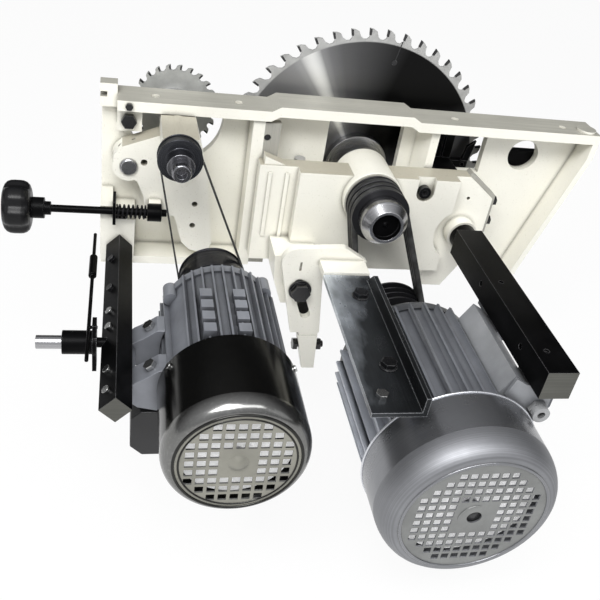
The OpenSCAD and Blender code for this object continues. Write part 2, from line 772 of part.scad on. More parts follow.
module lock_lever() color(black) {
    difference() {
        union() {
            box(lever_x, [lock_at[0] - 9, lock_at[0] + 9], [lock_at[1], link_z + 8]);
            bar_x(lock_at, 16, lever_x);
            box(lever_x, [lock_at[0] - 12, lock_at[0] + 6], [lock_at[1] - 34, lock_at[1]]);
        }
        bar_x(lock_at, lock_pin_r + press, [lever_x[0] - 1, lever_x[1] + 1]);
        box([lever_x[0] - 1, lever_x[1] + 1], [lock_at[0] - 2.3, lock_at[0] + 2.3],
            [link_z - 4, link_z + 4]);
    }
}

module lock_link() color(black) {
    bar_y([link_x, link_z], 2.2, link_y);
    bar_x([lock_at[0], link_z], 2, [link_x, lever_x[1] + 1]);
    bar_y([link_x, link_z], 5, link_sleeve_y);
}

// Lift screw, held by two collars at its lug; its thread is plain here
module lift_screw() color(steel) {
    translate([screw_at[0], screw_at[1], 0]) {
        r = lift_screw_d / 2;
        translate([0, 0, -plate_drop - 22]) cylinder(r = 9 / sqrt(3), h = 14, $fn = 6);
        translate([0, 0, -plate_drop - 9]) cylinder(r = 11, h = 8.7);
        translate([0, 0, -plate_drop - 1]) cylinder(r = r - 1, h = 24);
        translate([0, 0, -plate_drop + lug_t + 0.3]) cylinder(r = 11, h = 6);
        translate([0, 0, -plate_drop + lug_t + 6]) cylinder(r = r, h = screw_top + plate_drop - lug_t - 6);
    }
}

// Rotor of the scoring motor
module scoring_rotor() color(steel) {
    bar_y(small_axis, small_rotor_r, small_core_y);
    r = small_shaft_d / 2;
    end = small_fan_y[0] - 2;
    turned_y(small_axis, [[0, end], [small_fan_shaft_r, end], [small_fan_shaft_r, small_rear_bearing_y - 6],
        [r, small_rear_bearing_y - 6], [r, drum_y[1] - 4], [0, drum_y[1] - 4]]);
}

module scoring_fan() color(black) {
    fan_wheel(small_axis, small_bore_r + 2, small_fan_hub_r, small_fan_shaft_r + press, small_fan_y, 8);
}

module scoring_motor_pulley() color(black) {
    difference() {
        turned_y(small_axis, [[0, drum_y[0]], [drum_d / 2, drum_y[0]], [drum_d / 2, scoring_belt_y - 8],
            [drum_d / 2 - 2, scoring_belt_y - 7], [drum_d / 2 - 2, scoring_belt_y + 7],
            [drum_d / 2, scoring_belt_y + 8], [drum_d / 2, drum_y[1]], [0, drum_y[1]]]);
        bar_y(small_axis, small_shaft_d / 2 + press, [drum_y[0] - 1, drum_y[1] - 3.9]);
        bar_y(small_axis, 6, [drum_y[1] - 6, drum_y[1] + 1]);
    }
}

// Arm with the scoring blade
module arm_outline() {
    translate(pivot) circle(21);
    polygon([[pivot[0] - 21, pivot[1]], [pivot[0] - 19, 26], [-341, 38], [-293, 57], [-293, 80], [-248, 80],
        [-243, 66], [-236, 40], [-226, 0], [-213, -104], [-217, -115], [-228, -120], [-244, -116],
        [-256, -104], [-268, -62], [-285, -62], [-301, -62], [-309, -50], [-312, -32], [-320, -12]]);
}

module scoring_arm() color(cream) {
    axis = scoring_axis;
    difference() {
        union() {
            translate([0, arm_back, 0]) rotate([90, 0, 0]) linear_extrude(arm_back - arm_front)
                arm_outline();
            bar_y(axis, scoring_bearing_r + 3, [arm_block_front, arm_front + 1]);
            box([axis[0] - 21.5, axis[0] + 23.5], [arm_block_front, arm_front + 1],
                [axis[1] - 10, rim_z + 0.5]);
            box([nut_x[0] + 2, nut_x[1] - 1], [rod_at[0] + 6, arm_front + 1],
                [rod_at[1] - 11, rod_at[1] + 11]);
        }
        bar_y(pivot, pivot_r + fit, [arm_front - 1, arm_back + 1]);
        bar_y([-312, 17], 4.5, [arm_front - 1, arm_front + 14]);
        bar_y([-241, -42], 4, [arm_front - 1, arm_back + 1]);
        bar_y([-242, -76], 4, [arm_front - 1, arm_back + 1]);
        bar_y(axis, scoring_bearing_r, [arm_block_front - 1, arm_front - 5]);
        bar_y(axis, scoring_bore_r + 1.5, [arm_front - 6, arm_back + 1]);
        bar_x(rod_at, nut_r + press, nut_x);
        for (x = [-344, -326]) translate([x, -66, 20]) cylinder(r = 2.5, h = 40);
    }
}

module scoring_arbor_bearings() color(steel) {
    for (y = [arm_block_front + 1, arm_front - 5 - scoring_bearing_w])
        bearing(scoring_axis, scoring_bearing_r - press, scoring_shaft_r + fit, [y, y + scoring_bearing_w]);
}

module scoring_belt() color(black) {
    belt(scoring_axis, scoring_rim_r + belt_gap, small_axis, drum_d / 2 - 2 + belt_gap, flat_belt_t,
        [scoring_belt_y - scoring_belt_w / 2, scoring_belt_y + scoring_belt_w / 2]);
}

module adjuster_nut() color(black) {
    difference() {
        bar_x(rod_at, nut_r, nut_x);
        bar_x(rod_at, rod_d / 2 + 2.5, [nut_x[0] - 1, nut_x[1] + 1]);
    }
}

module scoring_arbor() color(steel) {
    r = scoring_shaft_r;
    collar = scoring_bore_r - 0.1;
    nose = scoring_belt_y - 45;
    near = arm_block_front + scoring_bearing_w;
    far = arm_front - 5 - scoring_bearing_w;
    difference() {
        turned_y(scoring_axis, [[0, nose], [10.5, nose], [12, nose + 2], [12, nose + 17.8],
            [r, nose + 17.8], [r, near + 1.2], [collar, near + 1.4], [collar, far - 0.4], [r, far - 0.2],
            [r, arm_front - 4.8], [scoring_bore_r, arm_front - 4.6], [scoring_bore_r, 18], [0, 18]]);
        bar_y(scoring_axis, 6, [nose - 1, nose + 10]);
    }
}

module scoring_arbor_pulley() color(black) {
    r = scoring_rim_r;
    y = [scoring_belt_y - 9, scoring_belt_y + 9];
    difference() {
        turned_y(scoring_axis, [[0, y[0] - 18], [17, y[0] - 18], [17, y[0]], [scoring_flange_r, y[0]],
            [scoring_flange_r, y[0] + 2], [r, y[0] + 2.4], [r, y[1] - 2.4], [scoring_flange_r, y[1] - 2],
            [scoring_flange_r, y[1]], [0, y[1]]]);
        bar_y(scoring_axis, scoring_shaft_r + press, [y[0] - 19, y[1] + 1]);
    }
}

module scoring_blade() color(steel) {
    translate([scoring_axis[0], 0, scoring_axis[1]])
        mirror([1, 0, 0])
            blade_plate(scoring_blade_d / 2, 8, scoring_teeth, scoring_bore_r + press, blade_t, 7);
}

module scoring_flange() color(steel) {
    for (y = [[-9, -blade_t / 2], [blade_t / 2, 9]]) ring_y(scoring_axis, 27, scoring_bore_r + press, y);
    difference() {
        hex_y(scoring_axis, 27, [9, 17]);
        bar_y(scoring_axis, scoring_bore_r + press, [8, 18]);
    }
}

// Adjuster of the scoring arm
module adjuster_rod() color(black) {
    bar_x(rod_at, rod_d / 2, rod_x);
    bar_x(rod_at, 9, [rod_x[0] - 8, rod_x[0]]);
    bar_x(rod_at, 14, [rod_x[0] - 24, rod_x[0] - 8]);
}

module adjuster_knob() color(black) {
    r = knob_d / 2;
    x0 = rod_x[0] - 60;
    difference() {
        translate([x0, rod_at[0], rod_at[1]]) rotate([0, 90, 0]) rotate_extrude()
            polygon([[0, 0], [r - 13, 0], [r - 6, 2], [r - 1.5, 7], [r, 13], [r, 23], [r - 1.5, 29],
                [r - 6, 34], [r - 13, 36], [0, 36]]);
        for (a = [0:60:300]) translate([x0 - 1, rod_at[0], rod_at[1]]) rotate([a, 0, 0])
            translate([0, 0, r + 6]) rotate([0, 90, 0]) cylinder(r = 10, h = 38);
    }
}

// Carriage with the main arbor
module way_hooks() {
    y = [way_face - 1, way_back + fit, way_back + 10];
    translate([0, 0, 10 - carriage_drop]) linear_extrude(carriage_drop + carriage_top - 20)
        polygon([[left_way[1] + fit, y[0]], [left_way[1] + fit, y[1]], [left_way[0] + way_step + 0.5, y[1]],
            [left_way[0] + way_step + 0.5, y[2]], [left_way[1] + 10, y[2]], [left_way[1] + 10, y[0]]]);
    translate([0, 0, -78]) linear_extrude(78 + corner_z - 2)
        polygon([[right_way[1] + fit, y[0]], [right_way[1] + fit, y[1]],
            [right_way[0] + way_step + 4.5, y[1]], [right_way[0] + way_step + 4.5, y[2]],
            [right_way[1] + 12, y[2]], [right_way[1] + 12, y[0]]]);
}

module carriage() color(cream) {
    face = way_face - fit;
    difference() {
        union() {
            slab_y([[-carriage_left, -carriage_drop], [-carriage_left, carriage_top],
                [corner_x, carriage_top], [carriage_right, corner_z], [carriage_right, -80],
                [foot_x[1], foot_z], [foot_x[0], foot_z], [foot_x[0], -carriage_drop]], [slab_front, face]);
            difference() {
                box(raised_x, [raised_front, slab_front + 1], [-carriage_drop, carriage_top]);
                bar_y(swing_axis, 44, [raised_front - 1, slab_front]);
            }
            bar_y(swing_axis, 23, [rail_far + 16.3, slab_front + 1]);
            // Lobe behind the motor bracket, with the boss of the clamp bolt
            slab_y([[-132, -80], [-128, -122], [-114, -160], [-100, -160], [-93, -196], [-60, -196],
                [-60, -150], [-70, -120], [-70, -80]], [-146, slab_front + 1]);
            bar_y(clamp_at, clamp_boss_r, [clamp_boss_front, -145]);
            way_hooks();
            // Wedge behind the top left corner
            slab_y([[-152, carriage_top - 1], [-152, carriage_top + 12], [-118, carriage_top - 1]],
                [slab_front + 2, way_face - 3]);
            // Two low ribs on the left part of the face
            for (x = [-146, -122]) box([x, x + 5], [slab_front - 3, slab_front + 1], [-80, 20]);
        }
        bar_y([0, 0], cartridge_r + press, [raised_front - 1, way_face + 1]);
        bar_y(swing_axis, journal_r + fit, [rail_far, way_face + 1]);
        bar_y(clamp_at, clamp_shank_r, [clamp_boss_front - 1, -120]);
        bar_y(socket_at, 13, [raised_front - 1, raised_front + 10]);
        box([socket_at[0] - 13, socket_at[0] + 13], [raised_front - 1, raised_front + 10],
            [socket_at[1], carriage_top + 1]);
        bar_y(socket_at, 5 + bolt_gap, [raised_front - 1, way_face - 8]);
        bar_y([155, -4], 2.5, [slab_front - 1, slab_front + 12]);
        for (z = gib_bolt_z)
            bar_x([gib_bolt_y, z], 4 + bolt_gap, [carriage_right - 16, carriage_right + 1]);
        for (x = knife_bolt_x) bar_y([x, knife_foot_z + 8], 4, [way_face + 1, way_face - 14]);
        for (z = [nut_z[0] + 6, nut_z[1] - 6], x = [screw_at[0] - 12, screw_at[0] + 12])
            bar_y([x, z], 3, [way_face + 1, way_face - 12]);
    }
}

module gib_strip() color(steel) {
    t = 6;
    difference() {
        slab_y([[corner_x, carriage_top], [carriage_right, corner_z], [carriage_right, -62],
            [carriage_right + t, -62], [carriage_right + t, corner_z + 2.9],
            [corner_x + 3.6, carriage_top + 4.8]], [gib_bolt_y - 8, way_face]);
        for (z = gib_bolt_z)
            bar_x([gib_bolt_y, z], 4 + bolt_gap, [carriage_right - 1, carriage_right + t + 1]);
    }
}

module carriage_screws() color(black) {
    difference() {
        bar_y(socket_at, 9, [raised_front + 1, raised_front + 10]);
        hex_y(socket_at, 8, [raised_front, raised_front + 6]);
    }
    bar_y(socket_at, 5, [raised_front + 9, way_face - 9]);
    for (z = gib_bolt_z) {
        hex_x([gib_bolt_y, z], 13, [carriage_right + 6, carriage_right + 12]);
        bar_x([gib_bolt_y, z], 4, [carriage_right - 15, carriage_right + 6.5]);
    }
    for (x = knife_bolt_x) {
        bar_y([x, knife_foot_z + 8], 6.5, [way_face + 12, way_face + 20]);
        bar_y([x, knife_foot_z + 8], 3.9, [way_face + 13, way_face - 13]);
    }
}

module arbor_housing() color([0.80, 0.79, 0.74]) {
    difference() {
        bar_y([0, 0], cartridge_r, [cartridge_front, cartridge_back]);
        bar_y([0, 0], arbor_bearing_d / 2 - 4, [cartridge_front - 1, cartridge_back + 1]);
        for (y = arbor_bearing_y) bar_y([0, 0], arbor_bearing_d / 2, [y, y + arbor_bearing_w]);
        bar_y([0, 0], arbor_bearing_d / 2, [cartridge_front - 1, arbor_bearing_y[0] + 1]);
        bar_y([0, 0], arbor_bearing_d / 2, [arbor_bearing_y[1] + 1, cartridge_back + 1]);
    }
}

module main_arbor_bearings() color(steel) {
    for (y = arbor_bearing_y)
        bearing([0, 0], arbor_bearing_d / 2 - press, arbor_r + fit, [y, y + arbor_bearing_w]);
}

// Holder that carries the knife behind the blade; the knife itself isn't fitted
module knife_holder() color(black) {
    difference() {
        union() {
            box([104, 140], [way_face + press, -8], [knife_foot_z, knife_foot_z + 16]);
            box([108, 126], [-20, -10], [knife_foot_z, 79]);
            box([129, 142], [-20, -10], [knife_foot_z, 66]);
            box([142, 172], [-20, -8], [knife_foot_z, knife_foot_z + 12]);
            slab_y([[160, 14], [172, 14], [176, 36], [179, 54], [167, 44], [164, 26]], [-18, -12]);
        }
        box([112, 122], [-16, -9], [40, 80]);
        for (x = knife_bolt_x) bar_y([x, knife_foot_z + 8], 4 + bolt_gap, [way_face - 1, -30]);
        for (x = knife_bolt_x) bar_y([x, knife_foot_z + 8], 7, [way_face + 12, -7]);
        bar_y([165, knife_foot_z + 6], 3, [-21, -7]);
    }
}

module lift_nut() color([0.72, 0.55, 0.25]) {
    difference() {
        box([screw_at[0] - 16, screw_at[0] + 16], [way_face + press, screw_at[1] + 11], nut_z);
        translate([screw_at[0], screw_at[1], nut_z[0] - 1])
            cylinder(r = lift_screw_d / 2 + fit, h = nut_z[1] - nut_z[0] + 2);
    }
}

module clamp_bolt() color(black) {
    front = bracket_y[0] - 0.3;
    bar_y(clamp_at, clamp_shank_r - press, [front - 3, -121]);
    difference() {
        bar_y(clamp_at, 16, [front - 3, front]);
        bar_y(clamp_at, clamp_shank_r - press, [front - 4, front + 1]);
    }
    hex_y(clamp_at, 24, [front - 12, front - 3]);
}

module main_belt() color(black) {
    for (k = [-1:1])
        belt([0, 0], belt_r, motor_axis, motor_belt_r, belt_t,
            [belt_mid + k * belt_pitch - belt_w / 2, belt_mid + k * belt_pitch + belt_w / 2]);
}

// Outline of a grooved pulley, radius and Y, rim radius r
function grooved(r) = let (w = belt_w / 2 + belt_gap, g = [-1:1])
    concat([[r, pulley_front]], [for (k = g) let (c = belt_mid + k * belt_pitch)
        each [[r, c - w - 0.6], [r - groove_depth, c - w], [r - groove_depth, c + w], [r, c + w + 0.6]]],
        [[r, pulley_back]]);

module main_arbor() color(steel) {
    r = arbor_r;
    turned_y([0, 0], [[0, pulley_front - 16], [nose_r, pulley_front - 16], [nose_r, pulley_front - 0.1],
        [r, pulley_front - 0.1], [r, cartridge_back + 1], [hub_r, cartridge_back + 1], [hub_r, -17],
        [clamp_r, -14], [clamp_r, -blade_t / 2], [r, -blade_t / 2], [r, 9.5], [thread_r, 9.5],
        [thread_r, 34], [0, 34]]);
}

module main_arbor_pulley() color(black) {
    turned_y([0, 0], concat([[arbor_r + press, pulley_front]], grooved(arbor_pulley_d / 2),
        [[hub_r, pulley_back], [hub_r, cartridge_front - 0.5], [arbor_r + press, cartridge_front - 0.5]]));
}

module arbor_cap() color([0.75, 0.76, 0.78]) {
    f = pulley_front - 0.1;
    bore = nose_r + 0.05;
    turned_y([0, 0], [[bore, f], [32, f], [32, f - 19], [23, f - 31], [19, f - 31], [19, f - 22],
        [4, f - 22], [0, f - 26], [0, f - 16.5], [bore, f - 16.5]]);
}

module main_blade() color(steel) {
    difference() {
        blade_plate(blade_d / 2, 15, blade_teeth, arbor_r + press, blade_t, blade_turn);
        for (a = slot_angles) rotate([0, -a, 0]) {
            translate([blade_d / 2 - 42, -5, -0.8]) cube([50, 10, 1.6]);
            bar_y([blade_d / 2 - 42, 0], 4, [-5, 5]);
        }
    }
}

module blade_clamp() color(steel) {
    ring_y([0, 0], clamp_r, arbor_r + press, [blade_t / 2, 10]);
    difference() {
        hex_y([0, 0], 36, [10, 28]);
        bar_y([0, 0], thread_r + press, [9, 29]);
    }
}

// Swinging motor cradle
module motor_bracket() color(cream) {
    difference() {
        union() {
            translate([0, bracket_y[1], 0]) rotate([90, 0, 0]) linear_extrude(bracket_y[1] - bracket_y[0]) {
                translate([-105, -73]) circle(22);
                polygon([[-126.3, -78.5], [-99, -192], [-56, -192], [-66, -100], [-62, angle_base],
                    [-10, angle_base], [-8, -68], [-42, -47], [-105, -51]]);
                polygon([[-87, -190], [-58, -190], [-55, -258], [-73, -258]]);
            }
            // Shelf that the angle is welded to
            box([angle_x[0], angle_x[1]], [angle_y[1], bracket_y[0] + 1], [angle_base, angle_base + 10]);
            // Side flange of the lower block
            slab_y([[-87, -197], [-58, -197], [-54, -258], [-72, -258]],
                [bracket_y[0] - 1, bracket_y[1] + 14]);
        }
        // Arc slot for the clamp bolt
        intersection() {
            difference() {
                bar_y(swing_axis, slot_r + slot_half, [bracket_y[0] - 2, bracket_y[1] + 1]);
                bar_y(swing_axis, slot_r - slot_half, [bracket_y[0] - 3, bracket_y[1] + 2]);
            }
            slab_y([swing_axis, swing_axis + polar(300, slot_angle - 2.4),
                swing_axis + polar(300, slot_angle + 10)], [bracket_y[0] - 2, bracket_y[1] + 1]);
        }
        for (a = [slot_angle - 2.4, slot_angle + 10])
            bar_y(swing_axis + polar(slot_r, a), slot_half, [bracket_y[0] - 2, bracket_y[1] + 1]);
        bar_x(cross_bolt, 5, [-90, -40]);
        box([-101.5, -98.5], [bracket_y[0] - 1, bracket_y[0] + 3], [-86, -72]);
    }
}

module motor_angle() color(steel) {
    difference() {
        union() {
            box(angle_x, angle_y, [angle_base, angle_base + angle_t]);
            slab_x([[angle_y[0], angle_base], [angle_y[0], angle_base + angle_t + angle_up],
                [angle_leg_y, angle_base + angle_t + angle_up], [angle_leg_y + 24, angle_base]],
                [angle_x[1] - angle_leg_t, angle_x[1]]);
        }
        for (y = foot_bolts_y) translate([motor_axis[0] - foot_bolt_x, y, angle_base - 1])
            cylinder(r = 5 + bolt_gap, h = angle_t + 2);
        translate([angle_hole[0], angle_hole[1], angle_base - 1]) cylinder(r = 2, h = angle_t + 2);
        translate([angle_screw[0], angle_screw[1], angle_base - 1])
            cylinder(r = 4 + bolt_gap, h = angle_t + 2);
    }
}

module motor_rail() color(black) {
    h = rail_w / 2;
    difference() {
        union() {
            box([swing_axis[0] - h, swing_axis[0] + h], [rail_near, rail_far],
                [swing_axis[1] - h, swing_axis[1] + h]);
            bar_y(swing_axis, h, [rail_far - 1, rail_far + 16]);
            bar_y(swing_axis, journal_r, [rail_far + 15, way_face - 1]);
        }
        for (y = foot_bolts_y) translate([motor_axis[0] + foot_bolt_x, y, swing_axis[1] - h - 1])
            cylinder(r = 5, h = 19);
        for (y = rail_dot_y)
            translate([swing_axis[0] - 4, y, swing_axis[1] + h - 3]) cylinder(r = 3.5, h = 4);
        for (y = rail_hole_y)
            bar_x([y, swing_axis[1] + 2], 4, [swing_axis[0] - h - 1, swing_axis[0] - h + 8]);
    }
}

module main_motor_screws() color(black) {
    for (y = foot_bolts_y) {
        translate([motor_axis[0] - foot_bolt_x, y, angle_base + angle_t]) {
            cylinder(r = 11, h = 2);
            translate([0, 0, 2]) cylinder(r = 17 / sqrt(3), h = 6.5, $fn = 6);
            translate([0, 0, -angle_t - foot_t - 1]) cylinder(r = 4.9, h = angle_t + foot_t + 1.5);
        }
        translate([motor_axis[0] + foot_bolt_x, y, foot_top - foot_t]) {
            translate([0, 0, -6.5]) cylinder(r = 17 / sqrt(3), h = 6.5, $fn = 6);
            translate([0, 0, -0.5]) cylinder(r = 4.9, h = foot_t + 15);
        }
    }
    translate([angle_screw[0], angle_screw[1], angle_base + angle_t]) {
        cylinder(r = 13 / sqrt(3), h = 6, $fn = 6);
        translate([0, 0, -angle_t - 5]) cylinder(r = 4, h = angle_t + 5.5);
    }
    for (a = cover_screw_angles) cover_screw(a) {
        cylinder(r = 4.5, h = 2.5);
        translate([0, 0, -7]) cylinder(r = 2.4, h = 7.5);
    }
    bar_x(cross_bolt, 4.9, [-84, -44]);
    hex_x(cross_bolt, 16, [-55.7, -47.5]);
    hex_x(cross_bolt, 16, [-90, -83.2]);
}

module cover_screw(a) {
    translate([motor_axis[0], cover_y[1] - 7, motor_axis[1]]) rotate([0, 90 - a, 0])
        translate([0, 0, motor_cover_d / 2]) children();
}

// One foot of the main motor; side is -1 at the left and 1 at the right
module motor_foot(side, y) {
    under = motor_h - foot_t;
    left = [[-120, motor_h], [-72, motor_h], [-70, 90], polar(barrel_r - 1.4, 136.8),
        polar(barrel_r + 0.3, 150.1), [-84, under], [-120, under]];
    right = [[120, motor_h], [82, motor_h], [82, under], [106, under], [106, 80],
        polar(barrel_r + 3.8, 28.7), polar(barrel_r - 2.6, 26.6), polar(barrel_r - 6.1, 12.1),
        polar(barrel_r + 2.1, 12.3), [120, 70]];
    slab_y([for (p = side < 0 ? left : right) motor_axis + p], [y - foot_half, y + foot_half]);
}

module main_motor_housing() color(motor_grey) {
    gaps = [[126, 10], [54, 10]];
    difference() {
        union() {
            finned_barrel(motor_axis, barrel_r, motor_fin_r, motor_fins, 3.2, barrel_y, gaps);
            for (y = foot_bolts_y, side = [-1, 1]) motor_foot(side, y);
        }
        bar_y(motor_axis, barrel_bore_r, [barrel_y[0] - 1, barrel_y[1] + 1]);
        for (y = foot_bolts_y, side = [-1, 1])
            translate([motor_axis[0] + side * foot_bolt_x, y, foot_top - foot_t - 1])
                cylinder(r = 5 + bolt_gap, h = foot_t + 2);
        terminal_box_space();
        // The front legs reach over the end shield
        bar_y(motor_axis, shield_r + seat_gap, [barrel_y[1], foot_bolts_y[0] + foot_half + 1]);
    }
}

// Room that the terminal box takes in the fins
module terminal_box_space() {
    difference() {
        slab_y([for (p = box_room_points) motor_axis + p], [box_y[0] - 0.1, box_y[1] + 0.1]);
        bar_y(motor_axis, barrel_r, [box_y[0] - 1, box_y[1] + 1]);
    }
}

module main_motor_end_shield() color([0.34, 0.35, 0.37]) {
    bore = motor_bearing_r;
    r = shield_r;
    spigot = barrel_bore_r - seat_gap;
    y = barrel_y[1];
    f = shield_front;
    seat = drive_bearing_y - motor_bearing_w;
    rim = motor_cover_d / 2 - cover_wall - 2 * seat_gap;
    rear = barrel_y[0];
    stop = rear_bearing_y + motor_bearing_w;
    turned_y(motor_axis, [[bore - 5, f], [bore + 9, f], [bore + 11, f - 10], [r - 20, f - 18],
        [r - 4, f - 36], [r, f - 44], [r, y], [spigot, y], [spigot, y - 6], [barrel_bore_r - 6, y - 6],
        [r - 16, f - 42], [bore + 8, f - 26], [bore + 8, seat], [bore, seat], [bore, drive_bearing_y],
        [bore - 5, drive_bearing_y]]);
    difference() {
        turned_y(motor_axis, [[bore, rear_bearing_y], [rim, rear_bearing_y], [rim, rear], [spigot, rear],
            [spigot, rear + 6], [bore + 8, rear + 6], [bore + 8, stop + 3], [bore - 5, stop + 3],
            [bore - 5, stop], [bore, stop]]);
        for (a = cover_screw_angles) cover_screw(a) translate([0, 0, -10]) cylinder(r = 2.6, h = 12);
    }
}

module main_motor_stator() color([0.55, 0.32, 0.18]) {
    stator(motor_axis, barrel_bore_r - 0.05, rotor_r + air_gap, core_y, 24);
}

module main_motor_bearings() color(steel) {
    for (y = [drive_bearing_y - motor_bearing_w, rear_bearing_y])
        bearing(motor_axis, motor_bearing_r - press, motor_shaft_d / 2 + fit, [y, y + motor_bearing_w]);
}

module main_fan_cover() color([0.60, 0.61, 0.63]) {
    difference() {
        cover_shell(motor_axis, motor_cover_d / 2, cover_y, cover_face, cover_face_r, cover_wall);
        grid_holes(motor_axis, [cover_face - 1, cover_face + cover_wall + 1], grid_pitch, grid_hole,
            [6, 8, 10, 12, 12, 12, 12, 12, 12, 10, 8, 6], 2);
        bar_y(motor_axis, 9, [cover_face - 1, cover_face + cover_wall + 1]);
        for (a = cover_screw_angles) cover_screw(a) translate([0, 0, -5]) cylinder(r = 2.6, h = 8);
    }
}

module main_terminal_box() color([0.66, 0.67, 0.69]) {
    difference() {
        slab_y([for (p = box_points) motor_axis + p], box_y);
        bar_y(motor_axis, barrel_r + seat_gap, [box_y[0] - 1, box_y[1] + 1]);
    }
    difference() {
        slab_y([for (p = box_lid_points) motor_axis + p], [box_y[0] - 5, box_y[0] + 0.5]);
        bar_y(motor_axis + gland_at, 8, [box_y[0] - 6, box_y[0] + 1]);
    }
}

module cable_gland() color([0.62, 0.63, 0.64]) {
    f = box_y[0] - 5;
    difference() {
        union() {
            hex_y(motor_axis + gland_at, gland_d, [f - 6, f]);
            bar_y(motor_axis + gland_at, gland_d / 2, [f - 14, f - 6]);
            bar_y(motor_axis + gland_at, 7.9, [f - 1, f + 4]);
        }
        bar_y(motor_axis + gland_at, 5, [f - 15, f + 5]);
    }
}

// Rotor of the main motor
module main_rotor() color(steel) {
    r = motor_shaft_d / 2;
    bar_y(motor_axis, rotor_r, core_y);
    turned_y(motor_axis, [[0, fan_y[0] - 4], [fan_shaft_r, fan_y[0] - 4], [fan_shaft_r, rear_bearing_y - 4],
        [r, rear_bearing_y - 4], [r, pulley_back - 2], [0, pulley_back - 2]]);
}

module main_fan() color(black) {
    fan_wheel(motor_axis, barrel_bore_r, fan_hub_r, fan_shaft_r + press, fan_y, 8);
}

module main_motor_pulley() color(black) {
    r = motor_shaft_d / 2 + press;
    turned_y(motor_axis, concat([[r, pulley_front]], grooved(motor_pulley_d / 2), [[r, pulley_back]]));
}

base_plate();
slideways();
rear_rail();
frame_screws();
left_support_bar();
scoring_motor_foot();
scoring_motor_screws();
scoring_motor_housing();
scoring_motor_stator();
scoring_motor_bearings();
scoring_fan_cover();
scoring_terminal_box();
spring_stop();
arm_pivot_pin();
adjuster_spring();
lock_shaft();
lock_lever();
lock_link();
lift_screw();
scoring_rotor();
scoring_fan();
scoring_motor_pulley();
scoring_arm();
scoring_arbor_bearings();
scoring_belt();
adjuster_nut();
scoring_arbor();
scoring_arbor_pulley();
scoring_blade();
scoring_flange();
adjuster_rod();
adjuster_knob();
carriage();
gib_strip();
carriage_screws();
arbor_housing();
main_arbor_bearings();
knife_holder();
lift_nut();
clamp_bolt();
main_belt();
main_arbor();
main_arbor_pulley();
arbor_cap();
main_blade();
blade_clamp();
motor_bracket();
motor_angle();
motor_rail();
main_motor_screws();
main_motor_housing();
main_motor_end_shield();
main_motor_stator();
main_motor_bearings();
main_fan_cover();
main_terminal_box();
cable_gland();
main_rotor();
main_fan();
main_motor_pulley();
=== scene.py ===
"""Finishes and fine shapes of a saw unit with two belt driven motors, built round its CAD frame."""

import json

import bmesh
import bpy
import numpy as np
from bpy.props import FloatProperty, FloatVectorProperty, IntProperty, PointerProperty
from mathutils import Matrix, Vector


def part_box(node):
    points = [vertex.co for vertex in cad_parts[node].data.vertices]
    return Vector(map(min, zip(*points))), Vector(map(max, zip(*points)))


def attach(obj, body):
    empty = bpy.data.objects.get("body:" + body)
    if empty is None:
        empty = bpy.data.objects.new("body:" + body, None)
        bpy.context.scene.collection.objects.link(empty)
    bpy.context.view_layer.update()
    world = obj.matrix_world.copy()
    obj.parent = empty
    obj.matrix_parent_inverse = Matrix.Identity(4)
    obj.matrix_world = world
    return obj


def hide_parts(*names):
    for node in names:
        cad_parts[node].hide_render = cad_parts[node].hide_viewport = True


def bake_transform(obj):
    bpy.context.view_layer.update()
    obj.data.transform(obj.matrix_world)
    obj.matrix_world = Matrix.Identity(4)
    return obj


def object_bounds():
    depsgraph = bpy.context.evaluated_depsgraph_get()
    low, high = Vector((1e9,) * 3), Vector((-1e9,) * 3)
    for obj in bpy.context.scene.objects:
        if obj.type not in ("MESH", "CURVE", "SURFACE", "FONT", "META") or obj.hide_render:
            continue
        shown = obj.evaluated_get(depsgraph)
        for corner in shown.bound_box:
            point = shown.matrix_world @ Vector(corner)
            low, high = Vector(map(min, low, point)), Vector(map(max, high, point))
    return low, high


bl_info = {
    "name": "Saw unit finish",
    "version": (1, 0, 0),
    "blender": (4, 5, 0),
    "location": "3D View > Sidebar > Saw Unit",
    "description": "Finishes, belts, spring, knob, blade tips and stage for a saw unit",
    "category": "Object",
}

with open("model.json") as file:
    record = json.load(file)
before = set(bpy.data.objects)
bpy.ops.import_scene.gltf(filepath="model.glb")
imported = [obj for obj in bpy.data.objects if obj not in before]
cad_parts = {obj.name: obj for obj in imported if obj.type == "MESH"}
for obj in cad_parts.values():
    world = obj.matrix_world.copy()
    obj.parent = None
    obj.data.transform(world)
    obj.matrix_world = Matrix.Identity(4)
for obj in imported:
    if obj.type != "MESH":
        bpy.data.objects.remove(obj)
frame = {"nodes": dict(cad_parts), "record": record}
cad_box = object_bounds()
NODE_BODY = {node: body for body, nodes in frame["record"]["behaviour"]["bodies"].items() for node in nodes}
FINISHES = {}
FULL_TURN = 2 * np.pi
NEAR = 0.0001


def corners(node):
    """Lowest and highest corner of a CAD node's box."""
    return np.array(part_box(node))


def centre_of(node):
    """Middle of a CAD node's box."""
    return corners(node).mean(axis=0)


def axis_of(node):
    """X and Z of the middle of a CAD node's box, for what turns or is round about an axis along Y."""
    return centre_of(node)[[0, 2]]


# -------- settings

def size(name, what, value, low=0.0):
    return FloatProperty(name=name, description=what, default=value, min=low, unit="LENGTH", precision=5)


def colour(name, what, value):
    return FloatVectorProperty(name=name, description=what, default=value, subtype="COLOR", size=3,
                               min=0.0, max=1.0)


def power(name, what, value):
    return FloatProperty(name=name, description=what, default=value, min=0.0, unit="POWER")


